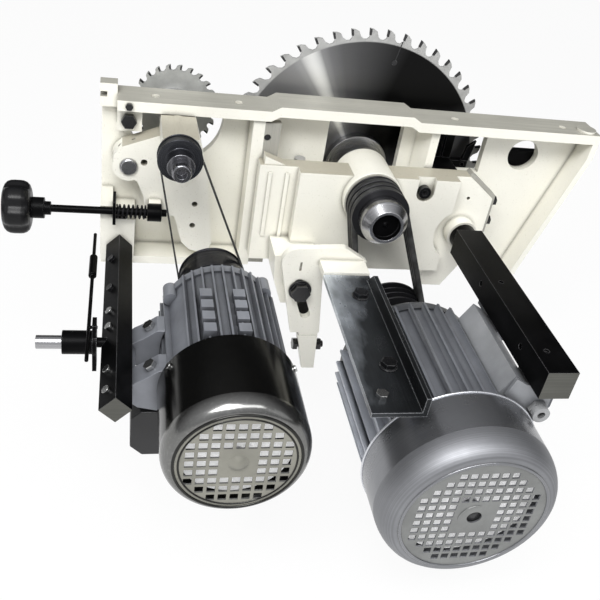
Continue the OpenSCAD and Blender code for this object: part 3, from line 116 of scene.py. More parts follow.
class SawFinishes(bpy.types.PropertyGroup):
    """Colours of the finishes and the rounding of edges"""
    enamel: colour("Enamel", "Cream enamel of the castings", (0.885, 0.868, 0.78))
    # Painted shade: this colour darkens the enamel in corners and gives the darker enamel of upward faces;
    # it stands for shade, not for dust or oil.
    shade: colour("Enamel shade", "Enamel where dust and oil have settled", (0.50, 0.47, 0.38))
    machined: colour("Machined face", "Milled cast iron of the rim", (0.45, 0.44, 0.385))
    steel: colour("Steel", "Turned and ground steel", (0.46, 0.46, 0.47))
    motor: colour("Motor paint", "Blue grey paint of the motor castings", (0.23, 0.24, 0.265))
    silver: colour("Silver cover", "Silver paint of the large fan cover", (0.27, 0.275, 0.29))
    black: colour("Black", "Blackened steel", (0.002, 0.002, 0.0022))
    plate: colour("Angle", "Bare steel of the angle", (0.33, 0.355, 0.385))
    casting_edge: size("Casting edge", "Rounding of the edges of the castings", 0.0022)
    machined_edge: size("Machined edge", "Rounding of the edges of bars and plates", 0.0007)
    small_edge: size("Small edge", "Rounding of the edges of fasteners and sheet", 0.0004)


class SawBelts(bpy.types.PropertyGroup):
    """Sizes of the belts"""
    wedge_top: size("Wedge top", "Outer width of a wedge belt", 0.0084)
    wedge_foot: size("Wedge foot", "Inner width of a wedge belt", 0.0060)
    wedge_deep: size("Wedge depth", "Depth of a wedge belt", 0.0078)
    flat_thick: size("Flat belt", "Thickness of the flat belt", 0.0019)


class SawSmallParts(bpy.types.PropertyGroup):
    """Sizes of the spring, the knob and the tips of the blades"""
    wire: size("Spring wire", "Diameter of the spring's wire", 0.0024)
    curls: IntProperty(name="Curls", description="Open curls of the spring", default=6, min=2)
    knob_flute: size("Knob flute", "Depth of the flutes round the knob", 0.0042)
    tip_long: size("Tip length", "Length of a blade tip along the radius", 0.0095)
    tip_thick: size("Tip thickness", "Thickness of a blade tip along the cut", 0.0030)
    tip_wide: size("Tip width", "Width of a blade tip across the plate", 0.0042)


class SawStage(bpy.types.PropertyGroup):
    """Camera, lamps and floor"""
    camera_at: FloatVectorProperty(name="Camera", description="Place of the camera",
                                   default=(-0.3399, -1.0572, 0.4902), subtype="XYZ", unit="LENGTH")
    camera_way: FloatVectorProperty(name="Direction", description="Direction that the camera looks in",
                                    default=(0.22262, 0.79575, -0.56323), subtype="DIRECTION")
    camera_roll: FloatProperty(name="Roll", description="Turn of the camera about its own axis",
                               default=0.17749, subtype="ANGLE")
    lens: FloatProperty(name="Lens", description="Focal length in millimetres on a 36 mm sensor",
                        default=47.36, min=10.0)
    key: power("Key lamp", "Power of the large lamp at the upper left", 38.0)
    second: power("Second lamp", "Power of the lamp over the camera", 14.0)
    streak: power("Streak lamp", "Power of the small lamp that shows as a streak on the blades", 7.0)
    fill: power("Fill lamp", "Power of the lamp at the right", 2.5)
    floor_below: size("Floor", "Depth of the floor under the object", 0.080)
    sky: FloatProperty(name="Sky", description="Strength of the light from all round", default=0.72)


# -------- node helpers

class Tree:
    """A node tree under construction, with short names for its nodes."""

    def __init__(self, tree):
        self.tree = tree
        self.coordinates = self.node("ShaderNodeTexCoord").outputs
        self.place = self.coordinates["Object"]

    def put(self, socket, value):
        """Sets an input, or links it where the value is another node's output."""
        if isinstance(value, bpy.types.NodeSocket):
            self.tree.links.new(value, socket)
        elif socket.type == "RGBA":
            socket.default_value = (*value, 1.0)
        else:
            socket.default_value = value

    def node(self, kind, *values, operation=None, **inputs):
        """A new node, with its first inputs given in order and others by name."""
        made = self.tree.nodes.new(kind)
        if operation:
            made.operation = operation
        for key, value in (*enumerate(values), *inputs.items()):
            self.put(made.inputs[key], value)
        return made

    def maths(self, operation, a, b=0.0):
        return self.node("ShaderNodeMath", a, b, operation=operation).outputs[0]

    def dot(self, a, b):
        return self.node("ShaderNodeVectorMath", a, b, operation="DOT_PRODUCT").outputs["Value"]

    def span(self, value, low, high, start=0.0, end=1.0):
        """Runs from low to high as the value goes from start to end."""
        return self.node("ShaderNodeMapRange", value, start, end, low, high).outputs[0]

    def mapped(self, scale=(1, 1, 1), at=(0, 0, 0)):
        """Object coordinates, moved so that at is the centre, and then stretched."""
        moved = self.node("ShaderNodeVectorMath", self.place, at, operation="SUBTRACT").outputs[0]
        return self.node("ShaderNodeMapping", Vector=moved, Scale=scale).outputs[0]

    def spot(self, axis=(0.0, 0.0)):
        """X, Y and Z, with X and Z measured from an axis along Y."""
        return self.node("ShaderNodeSeparateXYZ", self.mapped(at=(axis[0], 0.0, axis[1]))).outputs

    def polar(self, axis):
        """Radius and angle about an axis along Y through a point in X and Z."""
        x, _, z = self.spot(axis)
        square = self.maths("ADD", self.maths("MULTIPLY", x, x), self.maths("MULTIPLY", z, z))
        return self.maths("SQRT", square), self.maths("ARCTAN2", z, x)

    def noise(self, scale, detail=3.0, rough=0.55, vector=None):
        return self.node("ShaderNodeTexNoise", Vector=vector or self.place, Scale=scale, Detail=detail,
                         Roughness=rough).outputs["Fac"]

    def rings(self, value, scale):
        """Noise along one value only, for the lines that a lathe or a brush leaves."""
        made = self.node("ShaderNodeTexNoise", Scale=1.0, Detail=3.0)
        made.noise_dimensions = "1D"
        self.put(made.inputs["W"], self.maths("MULTIPLY", value, scale))
        return made.outputs["Fac"]

    def ramp(self, fac, *stops):
        """A colour ramp. Each stop is a place and a colour or a grey."""
        made = self.node("ShaderNodeValToRGB", fac)
        bar = made.color_ramp.elements
        while len(bar) < len(stops):
            bar.new(0.5)
        for element, (at, value) in zip(bar, stops):
            element.position = at
            element.color = (*value, 1.0) if isinstance(value, tuple) else (value, value, value, 1.0)
        return made.outputs["Color"]

    def mix(self, fac, a, b, way="MIX"):
        made = self.node("ShaderNodeMix")
        made.data_type, made.blend_type = "RGBA", way
        for key, value in ((0, fac), (6, a), (7, b)):
            self.put(made.inputs[key], value)
        return made.outputs[2]

    def hollow(self, reach, low, high):
        """1 in open places and 0 deep in a corner, over a reach in metres."""
        made = self.node("ShaderNodeAmbientOcclusion", Distance=reach)
        made.samples = 6
        return self.ramp(made.outputs["AO"], (low, 0.0), (high, 1.0))

    def wear_and_edge_highlight(self, tone, bare, radius=0.0009):
        """A tone made lighter by the colour bare along the edges, as where wear bares the metal, and as a
        painted highlight on the edges.
        """
        rounded_off = self.node("ShaderNodeBevel", Radius=radius)
        rounded_off.samples = 4
        flat = self.node("ShaderNodeNewGeometry").outputs["Normal"]
        edge_wear_and_highlight = self.ramp(self.dot(rounded_off.outputs[0], flat), (0.86, bare), (0.97, 0.0))
        return self.mix(1.0, tone, edge_wear_and_highlight, "ADD")

    def bump(self, height, strength, depth, **normal):
        return self.node("ShaderNodeBump", Height=height, Strength=strength, Distance=depth,
                         **normal).outputs[0]


class Shade(Tree):
    """One material under construction."""
    INPUTS = {"base": "Base Color", "rough": "Roughness", "metal": "Metallic", "coat": "Coat Weight",
              "coat_rough": "Coat Roughness", "normal": "Normal", "specular": "Specular IOR Level",
              "glow": "Emission Color", "glow_strength": "Emission Strength"}

    def __init__(self, name):
        material = FINISHES[name] = bpy.data.materials.new("saw_" + name)
        material.use_nodes = True
        super().__init__(material.node_tree)
        self.shader = self.tree.nodes["Principled BSDF"]

    def set(self, **values):
        for key, value in values.items():
            self.put(self.shader.inputs[self.INPUTS[key]], value)


def tint(value, factor):
    """A colour made lighter or darker."""
    return tuple(min(1.0, c * factor) for c in value)


# -------- finishes

def enamel(name, base, shade, slot=None):
    """Enamel over a rough casting, with faint clouds, painted shade that darkens the corners, and orange
    peel.
    With slot, a slope and a distance, it is black past a slanting line in X and Z, a painted shadow in a
    slot."""
    s = Shade(name)
    clouds = s.ramp(s.noise(9.0, 4.0), (0.35, tint(base, 0.95)), (0.68, base))
    specks = s.ramp(s.noise(520.0, 2.0), (0.26, tint(base, 0.75)), (0.36, 1.0))
    paint = s.mix(0.6, clouds, specks, "MULTIPLY")
    # Painted shade: ambient occlusion darkens the enamel deep in corners.
    shaded_paint = s.mix(s.hollow(0.010, 0.30, 0.82), tint(shade, 0.42), paint)
    if slot is not None:
        # Painted shadow: past the line the enamel turns near black, where a slot shows only shade.
        slope, start = slot
        x, _, z = s.spot()
        past = s.maths("ADD", x, s.maths("MULTIPLY", z, slope))
        shaded_paint = s.mix(s.span(past, 0.0, 1.0, start, start + 0.001), shaded_paint, (0.008, 0.008, 0.008))
    grain = s.bump(s.noise(160.0, 4.0), 0.22, 0.0006)
    s.set(base=shaded_paint, rough=s.span(s.noise(24.0), 0.34, 0.5), coat=0.25, coat_rough=0.25,
          normal=s.bump(s.noise(28.0, 2.0), 0.25, 0.0012, Normal=grain))


def milled(name, base, along="X", metal=0.75, rough=0.38):
    """Metal cut by a mill or a grinder: fine lines along one axis over faint clouds."""
    s = Shade(name)
    stretch = [6 if axis == along else 900 for axis in "XYZ"]
    lines = s.noise(1.0, 3.0, 0.6, s.mapped(stretch))
    tone = s.mix(s.ramp(lines, (0.3, 0.0), (0.7, 1.0)), tint(base, 0.82), tint(base, 1.18))
    tone = s.mix(s.ramp(s.noise(14.0, 4.0), (0.35, 0.0), (0.65, 0.4)), tone, tint(base, 0.7))
    s.set(base=tone, rough=s.span(lines, rough - 0.07, rough + 0.12), metal=metal,
          normal=s.bump(lines, 0.15, 0.0002))


def painted_reflection_steel(name, base, box):
    """Rolled steel: pale and bluish at the box's rear left and dark towards its front right, a painted
    reflection, with the lines of the rolls along Y and bright edges from wear and a painted highlight."""
    s = Shade(name)
    (left, front, _), (right, back, _) = box
    x, y, _ = s.spot()
    lines = s.noise(1.0, 3.0, 0.6, s.mapped((900, 6, 900)))
    clouds = s.noise(1.0, 4.0, 0.6, s.mapped((22, 9, 22)))
    # Painted reflection: light at the rear left, dark towards the front right, broken by clouds.
    place = s.maths("ADD", s.span(x, 0.0, 0.55, left, right), s.span(y, 0.0, 0.45, back, front))
    place = s.maths("ADD", place, s.span(clouds, -0.45, 0.45))
    tone = s.ramp(place, (0.05, tint(base, 2.2)), (0.26, tint(base, 0.95)), (0.48, tint(base, 0.14)),
                  (0.80, tint(base, 0.05)))
    tone = s.mix(s.ramp(lines, (0.3, 0.0), (0.7, 0.12)), tone, tint(base, 0.4))
    s.set(base=s.wear_and_edge_highlight(tone, (0.5, 0.51, 0.53), 0.0014), rough=s.span(clouds, 0.20, 0.36), metal=0.7,
          specular=0.25, normal=s.bump(lines, 0.12, 0.0002))


def turned(name, base, axis=(0.0, 0.0), rough=0.24, metal=1.0):
    """Metal turned on a lathe: fine rings round an axis along Y through a point in X and Z."""
    s = Shade(name)
    rings = s.rings(s.maths("ADD", s.polar(axis)[0], s.spot()[1]), 1700.0)
    tone = s.mix(s.ramp(rings, (0.3, 0.0), (0.7, 1.0)), tint(base, 0.8), tint(base, 1.15))
    s.set(base=tone, rough=s.span(rings, rough - 0.06, rough + 0.1), metal=metal,
          normal=s.bump(rings, 0.1, 0.0002))


def blackened(name, base, rough=0.34, grain=260.0, shine=0.05):
    """Oil-blackened steel: near black, half gloss, with a greyer bloom and edges lightened by wear and by a
    painted highlight.
    """
    s = Shade(name)
    bloom = s.ramp(s.noise(30.0, 5.0), (0.4, base), (0.75, tint(base, 2.2)))
    grains = s.noise(grain)
    s.set(base=s.wear_and_edge_highlight(bloom, (0.16, 0.16, 0.165)), rough=s.span(grains, rough - 0.06, rough + 0.1),
          metal=0.2, specular=shine, normal=s.bump(grains, 0.12, 0.0003))


def cast_paint(name, base, rough=0.42, grain=120.0, metal=0.35):
    """Paint sprayed on a die casting: pebbled, slightly metallic, with painted shade that darkens it between
    fins and in corners.
    """
    s = Shade(name)
    pebble = s.noise(grain, 4.0, 0.6)
    clouds = s.ramp(s.noise(18.0, 4.0), (0.35, tint(base, 0.85)), (0.7, tint(base, 1.15)))
    # Painted shade: ambient occlusion darkens the paint between fins.
    s.set(base=s.mix(s.hollow(0.014, 0.25, 0.9), tint(base, 0.22), clouds), metal=metal, specular=0.6,
          rough=s.span(pebble, rough - 0.08, rough + 0.12), normal=s.bump(pebble, 0.3, 0.0005))


def satin_cover(name, base, rough=0.26):
    """Silver paint on a pressed cover: fine rings from the brush, soft clouds, a satin sheen."""
    s = Shade(name)
    along = s.rings(s.spot()[1], 900.0)
    clouds = s.noise(12.0, 5.0, 0.6)
    tone = s.mix(s.ramp(along, (0.35, 0.0), (0.65, 1.0)), tint(base, 0.88), tint(base, 1.1))
    tone = s.mix(s.ramp(clouds, (0.4, 0.0), (0.8, 0.5)), tone, tint(base, 0.62))
    s.set(base=tone, rough=s.span(clouds, rough - 0.06, rough + 0.08), metal=0.85,
          normal=s.bump(along, 0.1, 0.0002))


def dark_gloss(name, base, rough=0.13):
    """Pressed cover plated black: like dark metal, with a faint ripple, dust and rubbed spots."""
    s = Shade(name)
    dust = s.ramp(s.noise(380.0, 2.0), (0.55, base), (0.8, tint(base, 1.8)))
    smears = s.ramp(s.noise(16.0, 5.0, 0.65), (0.35, tint(base, 0.75)), (0.75, tint(base, 1.15)))
    s.set(base=s.mix(0.5, dust, smears), rough=s.span(s.noise(60.0, 4.0), rough - 0.03, rough + 0.09),
          metal=0.95, normal=s.bump(s.noise(30.0, 2.0), 0.10, 0.0006))


def plastic(name, base, rough=0.45, shine=0.5):
    """Moulded plastic with a fine spark-eroded grain."""
    s = Shade(name)
    grains = s.noise(420.0)
    s.set(base=s.ramp(s.noise(20.0), (0.35, base), (0.7, tint(base, 1.5))), specular=shine,
          rough=s.span(grains, rough - 0.08, rough + 0.1), normal=s.bump(grains, 0.25, 0.0003))


def glowing_white(name, base, glow):
    """White nylon: a clouded white with a faint glow, painted light that makes the fans behind the cover
    grids bright.
    """
    s = Shade(name)
    tone = s.ramp(s.noise(45.0, 4.0), (0.35, tint(base, 0.88)), (0.7, base))
    grains = s.noise(300.0)
    s.set(base=tone, glow=tone, glow_strength=glow, rough=s.span(grains, 0.35, 0.5),
          normal=s.bump(grains, 0.2, 0.0003))


def rubber(name, base=(0.014, 0.014, 0.014)):
    """Belt rubber: dull, with dust and fine fabric lines."""
    s = Shade(name)
    weave = s.noise(900.0, 2.0)
    s.set(base=s.ramp(s.noise(70.0, 4.0), (0.4, base), (0.8, tint(base, 4.5))),
          rough=s.span(weave, 0.55, 0.75), normal=s.bump(weave, 0.3, 0.0003))


def dull_steel(s, base):
    """The tone of dull, pale saw steel."""
    return s.ramp(s.noise(60.0), (0.35, tint(base, 0.85)), (0.7, tint(base, 1.1)))


def blade_plate(name, base, axis):
    """Dull, pale saw steel with faint rings from the grinder."""
    s = Shade(name)
    rings = s.rings(s.polar(axis)[0], 2600.0)
    tone = s.mix(s.ramp(rings, (0.3, 0.0), (0.7, 0.35)), dull_steel(s, base), tint(base, 0.7))
    s.set(base=tone, metal=0.4, rough=s.span(rings, 0.42, 0.56), normal=s.bump(rings, 0.05, 0.0002))


def polished_plate(name, base, axis, rim, way):
    """Saw steel polished inside the radius rim, with a painted reflection, dark and bright twice round the
    centre, and a painted highlight, a narrow streak along the direction way, as a ground disc shows under a
    lamp.
    The teeth are dull and pale."""
    s = Shade(name)
    radius, angle = s.polar(axis)
    rings = s.rings(radius, 2600.0)
    from_streak = s.maths("SUBTRACT", angle, way)
    # Painted reflection: dark and bright twice round the centre.
    wave = s.maths("SINE", s.maths("ADD", s.maths("MULTIPLY", from_streak, 2.0), 0.72))
    painted_sheen = s.ramp(s.span(wave, 0.0, 1.0, -1.0), (0.10, 0.010), (0.25, (0.05, 0.05, 0.051)),
                    (0.45, (0.10, 0.10, 0.102)), (0.60, (0.15, 0.15, 0.152)), (0.72, (0.25, 0.25, 0.255)),
                    (0.90, (0.38, 0.38, 0.385)), (1.0, (0.26, 0.26, 0.265)))
    # Painted highlight: a narrow white streak along the direction way.
    near = s.maths("ABSOLUTE", s.maths("COSINE", from_streak))
    streak = s.ramp(near, (0.988, 0.0), (0.9982, 0.14), (0.99955, 0.5), (0.99992, 1.0))
    painted_sheen = s.mix(streak, painted_sheen, (1.0, 1.0, 0.98))
    painted_sheen = s.mix(1.0, painted_sheen, s.ramp(rings, (0.3, 1.0), (0.7, 0.72)), "MULTIPLY")
    outside = s.span(radius, 0.0, 1.0, rim - 0.0008, rim + 0.0008)
    s.set(base=s.mix(outside, painted_sheen, dull_steel(s, base)), metal=s.span(outside, 0.7, 0.35),
          rough=s.span(outside, 0.34, 0.5), specular=s.span(outside, 0.12, 0.5),
          normal=s.bump(rings, 0.05, 0.0002))


def winding(name, base):
    """Varnished copper and stacked sheet: a coarse band over a warm metal."""
    s = Shade(name)
    bands = s.noise(1.0, 2.0, 0.5, s.mapped((300, 900, 300)))
    s.set(base=s.ramp(bands, (0.35, tint(base, 0.5)), (0.65, base)), metal=0.7, rough=0.45,
          normal=s.bump(bands, 0.3, 0.0004))


def finishes(context):
    """Makes every finish once, to be found by name in FINISHES, and gives their settings."""
    settings = context.scene.saw_finishes
    if FINISHES:
        return settings
    cream, shade, machined, steel, motor, silver, black, plate = (
        tuple(getattr(settings, name))
        for name in ("enamel", "shade", "machined", "steel", "motor", "silver", "black", "plate"))
    scoring = axis_of("scoring_blade")
    enamel("enamel_cream", cream, shade)
    enamel("painted_slot_shadow", cream, shade, (0.2405, -0.1372))
    # Painted shade: a darker copy of the enamel for upward faces.
    enamel("shaded_top_enamel", tint(shade, 0.9), tint(shade, 0.8))
    enamel("enamel_pale", tint(cream, 0.96), shade)
    milled("milled_iron", machined, "X", 0.15, 0.5)
    milled("ground_steel", steel, "Z")
    milled("way_steel", (0.42, 0.41, 0.365), "Z", 0.25, 0.46)
    milled("sawn_steel", (0.125, 0.125, 0.112), "X", 0.85, 0.36)
    milled("shaft_steel", (0.42, 0.42, 0.43), "X", 0.95, 0.2)
    milled("tip_carbide", (0.035, 0.035, 0.036), "Y", 0.3, 0.4)
    milled("bronze", (0.42, 0.30, 0.12), "Z", 0.9, 0.35)
    painted_reflection_steel("angle_steel", plate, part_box("motor_angle"))
    turned("turned_steel", steel, rough=0.26)
    turned("bright_screws", (0.56, 0.56, 0.55), rough=0.2)
    turned("hub_steel", (0.36, 0.36, 0.37), rough=0.22)
    turned("pin_steel", (0.42, 0.42, 0.43), axis_of("arm_pivot_pin"), 0.22)
    turned("spindle_steel", (0.24, 0.24, 0.255), scoring, 0.16)
    turned("black_sheave", (0.055, 0.057, 0.064), scoring, 0.24, 0.9)
    turned("black_pulley", (0.030, 0.030, 0.033), axis_of("main_motor_pulley"), 0.30, 0.7)
    turned("black_drum", (0.022, 0.022, 0.026), axis_of("scoring_motor_pulley"), 0.26, 0.7)
    blackened("black_steel", black)
    blackened("black_screws", (0.004, 0.004, 0.0045), 0.2, 120.0, 0.6)
    blackened("spring_black", (0.010, 0.010, 0.011), 0.25)
    cast_paint("motor_paint", motor)
    cast_paint("dark_motor_paint", tint(motor, 0.8))
    # Painted highlight: a lighter copy of the motor paint for the tops of the pads.
    cast_paint("painted_pad_highlight", tint(motor, 1.45), 0.3, 60.0, 0.5)
    # Painted light: a lighter copy of the motor paint for the left side of the large motor.
    cast_paint("painted_light_side", tint(motor, 2.1), 0.4, 120.0, 0.1)
    cast_paint("shield_paint", tint(motor, 0.4), 0.4)
    cast_paint("box_paint", (0.36, 0.37, 0.39), 0.36, 160.0, 0.4)
    cast_paint("grey_plastic", (0.36, 0.365, 0.37), 0.42, 420.0, 0.0)
    cast_paint("silver_face", (0.25, 0.255, 0.25), 0.38, 420.0, 0.7)
    cast_paint("olive_face", (0.25, 0.245, 0.21), 0.34, 300.0, 0.4)
    satin_cover("silver_cover", silver)
    satin_cover("silver_shoulder", tint(silver, 0.98), 0.5)
    satin_cover("cover_bright", tint(silver, 2.6))
    dark_gloss("black_cover", (0.040, 0.040, 0.038))
    # Painted highlight: a lighter copy of the black plating for the cover's shoulder.
    dark_gloss("painted_shoulder_highlight", (0.20, 0.20, 0.195), 0.17)
    plastic("black_box", (0.012, 0.012, 0.013), 0.4)
    plastic("knob_plastic", (0.004, 0.004, 0.0045), 0.34, 0.24)
    glowing_white("glowing_fan_nylon", (0.92, 0.92, 0.92), 0.38)
    rubber("belt_rubber")
    polished_plate("blade_steel", (0.46, 0.46, 0.45), (0.0, 0.0), 0.1815, np.radians(120.5))
    blade_plate("scoring_steel", (0.46, 0.465, 0.45), scoring)
    winding("copper_winding", (0.45, 0.24, 0.12))
    return settings


# -------- shapes

def together(*parts):
    """Points from their coordinates, each an array or a number, spread to one shape and put side by side."""
    return np.stack(np.broadcast_arrays(*parts), axis=-1)


def meshed(name, verts, faces):
    """A mesh from an array of corners and a list of faces."""
    mesh = bpy.data.meshes.new(name)
    mesh.from_pydata(verts.tolist(), [], faces)
    mesh.update()
    return mesh


def skin(name, points, finish, ring=False, sheet=False):
    """A closed surface on a grid of points (rows, columns, 3). Each row closes on itself, and the end rows
    join up in a ring or are each closed by a fan to their middle. A sheet stays open all round."""
    verts = points.reshape(-1, 3)
    index = np.arange(len(verts)).reshape(points.shape[:2])
    if ring:
        index = np.vstack([index, index[:1]])
    if not sheet:
        index = np.hstack([index, index[:, :1]])
    quads = together(index[:-1, :-1], index[:-1, 1:], index[1:, 1:], index[1:, :-1])
    faces = quads.reshape(-1, 4).tolist()
    if not (ring or sheet):
        first, last, count = index[0].tolist(), index[-1].tolist(), len(verts)
        verts = np.concatenate([verts, [points[0].mean(axis=0), points[-1].mean(axis=0)]])
        faces += [(b, a, count) for a, b in zip(first, first[1:])]
        faces += [(a, b, count + 1) for a, b in zip(last, last[1:])]
    mesh = meshed(name, verts, faces)
    if not sheet:
        outward(mesh)
    return shown(mesh, finish)


def outward(mesh):
    """Turns a closed mesh's faces so that they all point outwards."""
    solid = bmesh.new()
    solid.from_mesh(mesh)
    if solid.calc_volume(signed=True) < 0:
        bmesh.ops.reverse_faces(solid, faces=solid.faces)
        solid.to_mesh(mesh)
    solid.free()


def shown(mesh, finish):
    """Puts a mesh in the scene under its own name, with one finish and smooth faces."""
    mesh.materials.clear()
    mesh.materials.append(FINISHES[finish])
    mesh.shade_smooth()
    piece = bpy.data.objects.new(mesh.name, mesh)
    bpy.context.scene.collection.objects.link(piece)
    return piece


def fixed(piece, node, replacing=False):
    """Moves with a CAD node's body, and stands in for it where that is asked for."""
    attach(piece, NODE_BODY[node])
    if replacing:
        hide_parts(node)
    return piece


def rounded(piece, width, segments=2):
    """Rounds the edges that turn by more than 35 degrees, and evens the shading of the flats."""
    bevel = piece.modifiers.new("rounded", "BEVEL")
    bevel.width, bevel.segments = width, segments
    bevel.limit_method, bevel.angle_limit = "ANGLE", 0.61
    bevel.miter_outer = "MITER_ARC"
    bevel.use_clamp_overlap = True
    bevel.loop_slide = True
    even = piece.modifiers.new("even", "WEIGHTED_NORMAL")
    even.keep_sharp, even.weight = False, 60
    return piece


def welded(node, finish, joined):
    """A welded copy of a CAD node in its place, its flat faces joined where that is asked for."""
    solid = bmesh.new()
    solid.from_mesh(frame["nodes"][node].data)
    bmesh.ops.remove_doubles(solid, verts=solid.verts, dist=2e-6)
    if joined:
        bmesh.ops.dissolve_limit(solid, angle_limit=0.006, verts=solid.verts, edges=solid.edges)
    mesh = bpy.data.meshes.new(node + "_shape")
    solid.to_mesh(mesh)
    solid.free()
    for layer in ("custom_normal", "sharp_face", "sharp_edge"):
        if layer in mesh.attributes:
            mesh.attributes.remove(mesh.attributes[layer])
    return fixed(shown(mesh, finish), node, True)


def softened(node, finish, width):
    """A copy of a CAD node with its edges rounded."""
    return rounded(welded(node, finish, True), width)


def creased(node, finish):
    """A copy of a CAD node that is sharp where it turns by over half a radian, for sheet with holes."""
    piece = welded(node, finish, False)
    piece.data.set_sharp_from_angle(angle=0.5)
    return piece


def hoop(name, axis, y, radius, thick, finish, node, high=1.0, start=0.0, sweep=FULL_TURN):
    """A bead round an axis along Y: a round section, flattened along Y by high, carried along the circle
    from start over sweep. An open bead runs out to a point at both ends."""
    closed = sweep >= FULL_TURN
    t = np.linspace(0, 1, 144 if closed else 60, endpoint=not closed)
    along = (start + sweep * t)[:, None]
    full = np.ones_like(t) if closed else np.sin(np.pi * np.clip(t, 0.004, 0.996)) ** 0.35
    half = thick * full[:, None]
    section = np.linspace(0, FULL_TURN, 12, endpoint=False)[None, :]
    r = radius + half * np.cos(section)
    depth = y + high * half * np.sin(section)
    grid = together(axis[0] + r * np.cos(along), depth, axis[1] + r * np.sin(along))
    return fixed(skin(name, grid, finish, closed), node)


def lathe(name, axis, profile, finish, node):
    """A closed turned piece: a half profile of radius and depth carried round an axis along Y."""
    a = np.linspace(0, FULL_TURN, 64, endpoint=False)[None, :]
    r, y = profile[:, :1], profile[:, 1:]
    grid = together(axis[0] + r * np.cos(a), y, axis[1] + r * np.sin(a))
    return fixed(skin(name, grid, finish), node)


def painted(node, finish):
    """A CAD node that keeps its own mesh and takes a finish."""
    for slot in frame["nodes"][node].material_slots:
        slot.material = FINISHES[finish]


def refaced(piece, finish, chosen):
    """Gives another finish to the faces that chosen(middle, normal) picks. A part of the normal over 0.9
    means that the face looks nearly straight that way."""
    slots = piece.data.materials
    slots.append(FINISHES[finish])
    for face in piece.data.polygons:
        if chosen(face.center, face.normal):
            face.material_index = len(slots) - 1


def loop_path(a, ra, b, rb, around, straight):
    """Closed path round two circles, with straight runs between their outer tangents: its points and its
    outward directions, in X and Z."""
    a, b = np.array(a), np.array(b)
    way = b - a
    turn = np.arctan2(way[1], way[0])
    half = np.arccos((ra - rb) / np.hypot(*way))
    far = turn - half + np.linspace(0, 2 * half, around)
    near = turn + half + np.linspace(0, FULL_TURN - 2 * half, around)
    arrow = lambda t: together(np.cos(t), np.sin(t))
    on_far, on_near = b + rb * arrow(far), a + ra * arrow(near)
    t = np.linspace(0, 1, straight + 2)[1:-1, None]
    back = on_far[-1] * (1 - t) + on_near[0] * t
    forth = on_near[-1] * (1 - t) + on_far[0] * t
    points = np.concatenate([on_far, back, on_near, forth])
    away = np.concatenate([arrow(far), np.repeat(arrow(far[-1:]), straight, 0), arrow(near),
                           np.repeat(arrow(near[-1:]), straight, 0)])
    return points, away


def belt_skin(name, path, profile, y, finish):
    """A belt: each point of the profile (height outwards, place across) is carried round the path."""
    points, away = path
    high, across = profile[:, 0], profile[:, 1]
    flat = points[:, None, :] + away[:, None, :] * high[None, :, None]
    return skin(name, together(flat[..., 0], y + across, flat[..., 1]), finish, True)


# -------- operators

class SawCastings(bpy.types.Operator):
    """Enamelled castings with rounded edges and a milled rim"""
    bl_idname = "saw.castings"
    bl_label = "Castings"

    def execute(self, context):
        made = finishes(context)
        plate = softened("base_plate", "enamel_cream", made.casting_edge)
        ways_top = corners("slideways")[1][2]
        refaced(plate, "milled_iron", lambda c, n: c[2] > ways_top + 0.012 and n[2] > 0.8)
        carriage = softened("carriage", "enamel_cream", made.casting_edge)
        back = corners("motor_bracket")[1][1]
        # Painted shadow: the carriage face behind the bracket's slot turns black past a slanting line.
        refaced(carriage, "painted_slot_shadow", lambda c, n: abs(c[1] - back) < 0.006 and n[1] < -0.9
                and c[0] < -0.05 and c[2] < -0.05)
        # Painted shade: the carriage's upward faces take a darker copy of the enamel.
        refaced(carriage, "shaded_top_enamel", lambda c, n: n[2] > 0.9 and c[2] > 0.02)
        arm = softened("scoring_arm", "enamel_cream", made.casting_edge * 0.8)
        # Painted shade: the arm's upward faces take a darker copy of the enamel.
        refaced(arm, "shaded_top_enamel", lambda c, n: n[2] > 0.7 and c[2] > 0.02)
        softened("motor_bracket", "enamel_cream", made.casting_edge * 0.7)
        softened("arbor_housing", "enamel_pale", made.machined_edge * 2)
        return {"FINISHED"}


class SawBars(bpy.types.Operator):
    """Bars, ways, plates, levers and rods"""
    bl_idname = "saw.bars"
    bl_label = "Bars and rods"

    def execute(self, context):
        edge = finishes(context).machined_edge
        for node in ("left_support_bar", "motor_rail"):
            bar, front = softened(node, "black_steel", edge), corners(node)[0][1]
            refaced(bar, "sawn_steel", lambda c, n: n[1] < -0.9 and c[1] < front + 0.002)
        bare = {"motor_angle": "angle_steel", "gib_strip": "way_steel", "slideways": "way_steel",
                "arm_pivot_pin": "pin_steel"}
        bars = {node: softened(node, bare.get(node, "black_steel"), edge)
                for node in ("rear_rail", "motor_angle", "gib_strip", "slideways", "spring_stop",
                             "knife_holder", "lock_shaft", "lock_lever", "lock_link", "adjuster_rod",
                             "adjuster_nut", "arm_pivot_pin")}
        low, high = corners("lock_shaft")
        middle = (low + high) / 2
        stub = high[2] - middle[2] - 0.0055
        refaced(bars["lock_shaft"], "shaft_steel", lambda c, n: c[0] < low[0] + 0.035
                and np.hypot(c[1] - middle[1], c[2] - middle[2]) < stub)
        painted("lift_screw", "ground_steel")
        painted("lift_nut", "bronze")
        return {"FINISHED"}


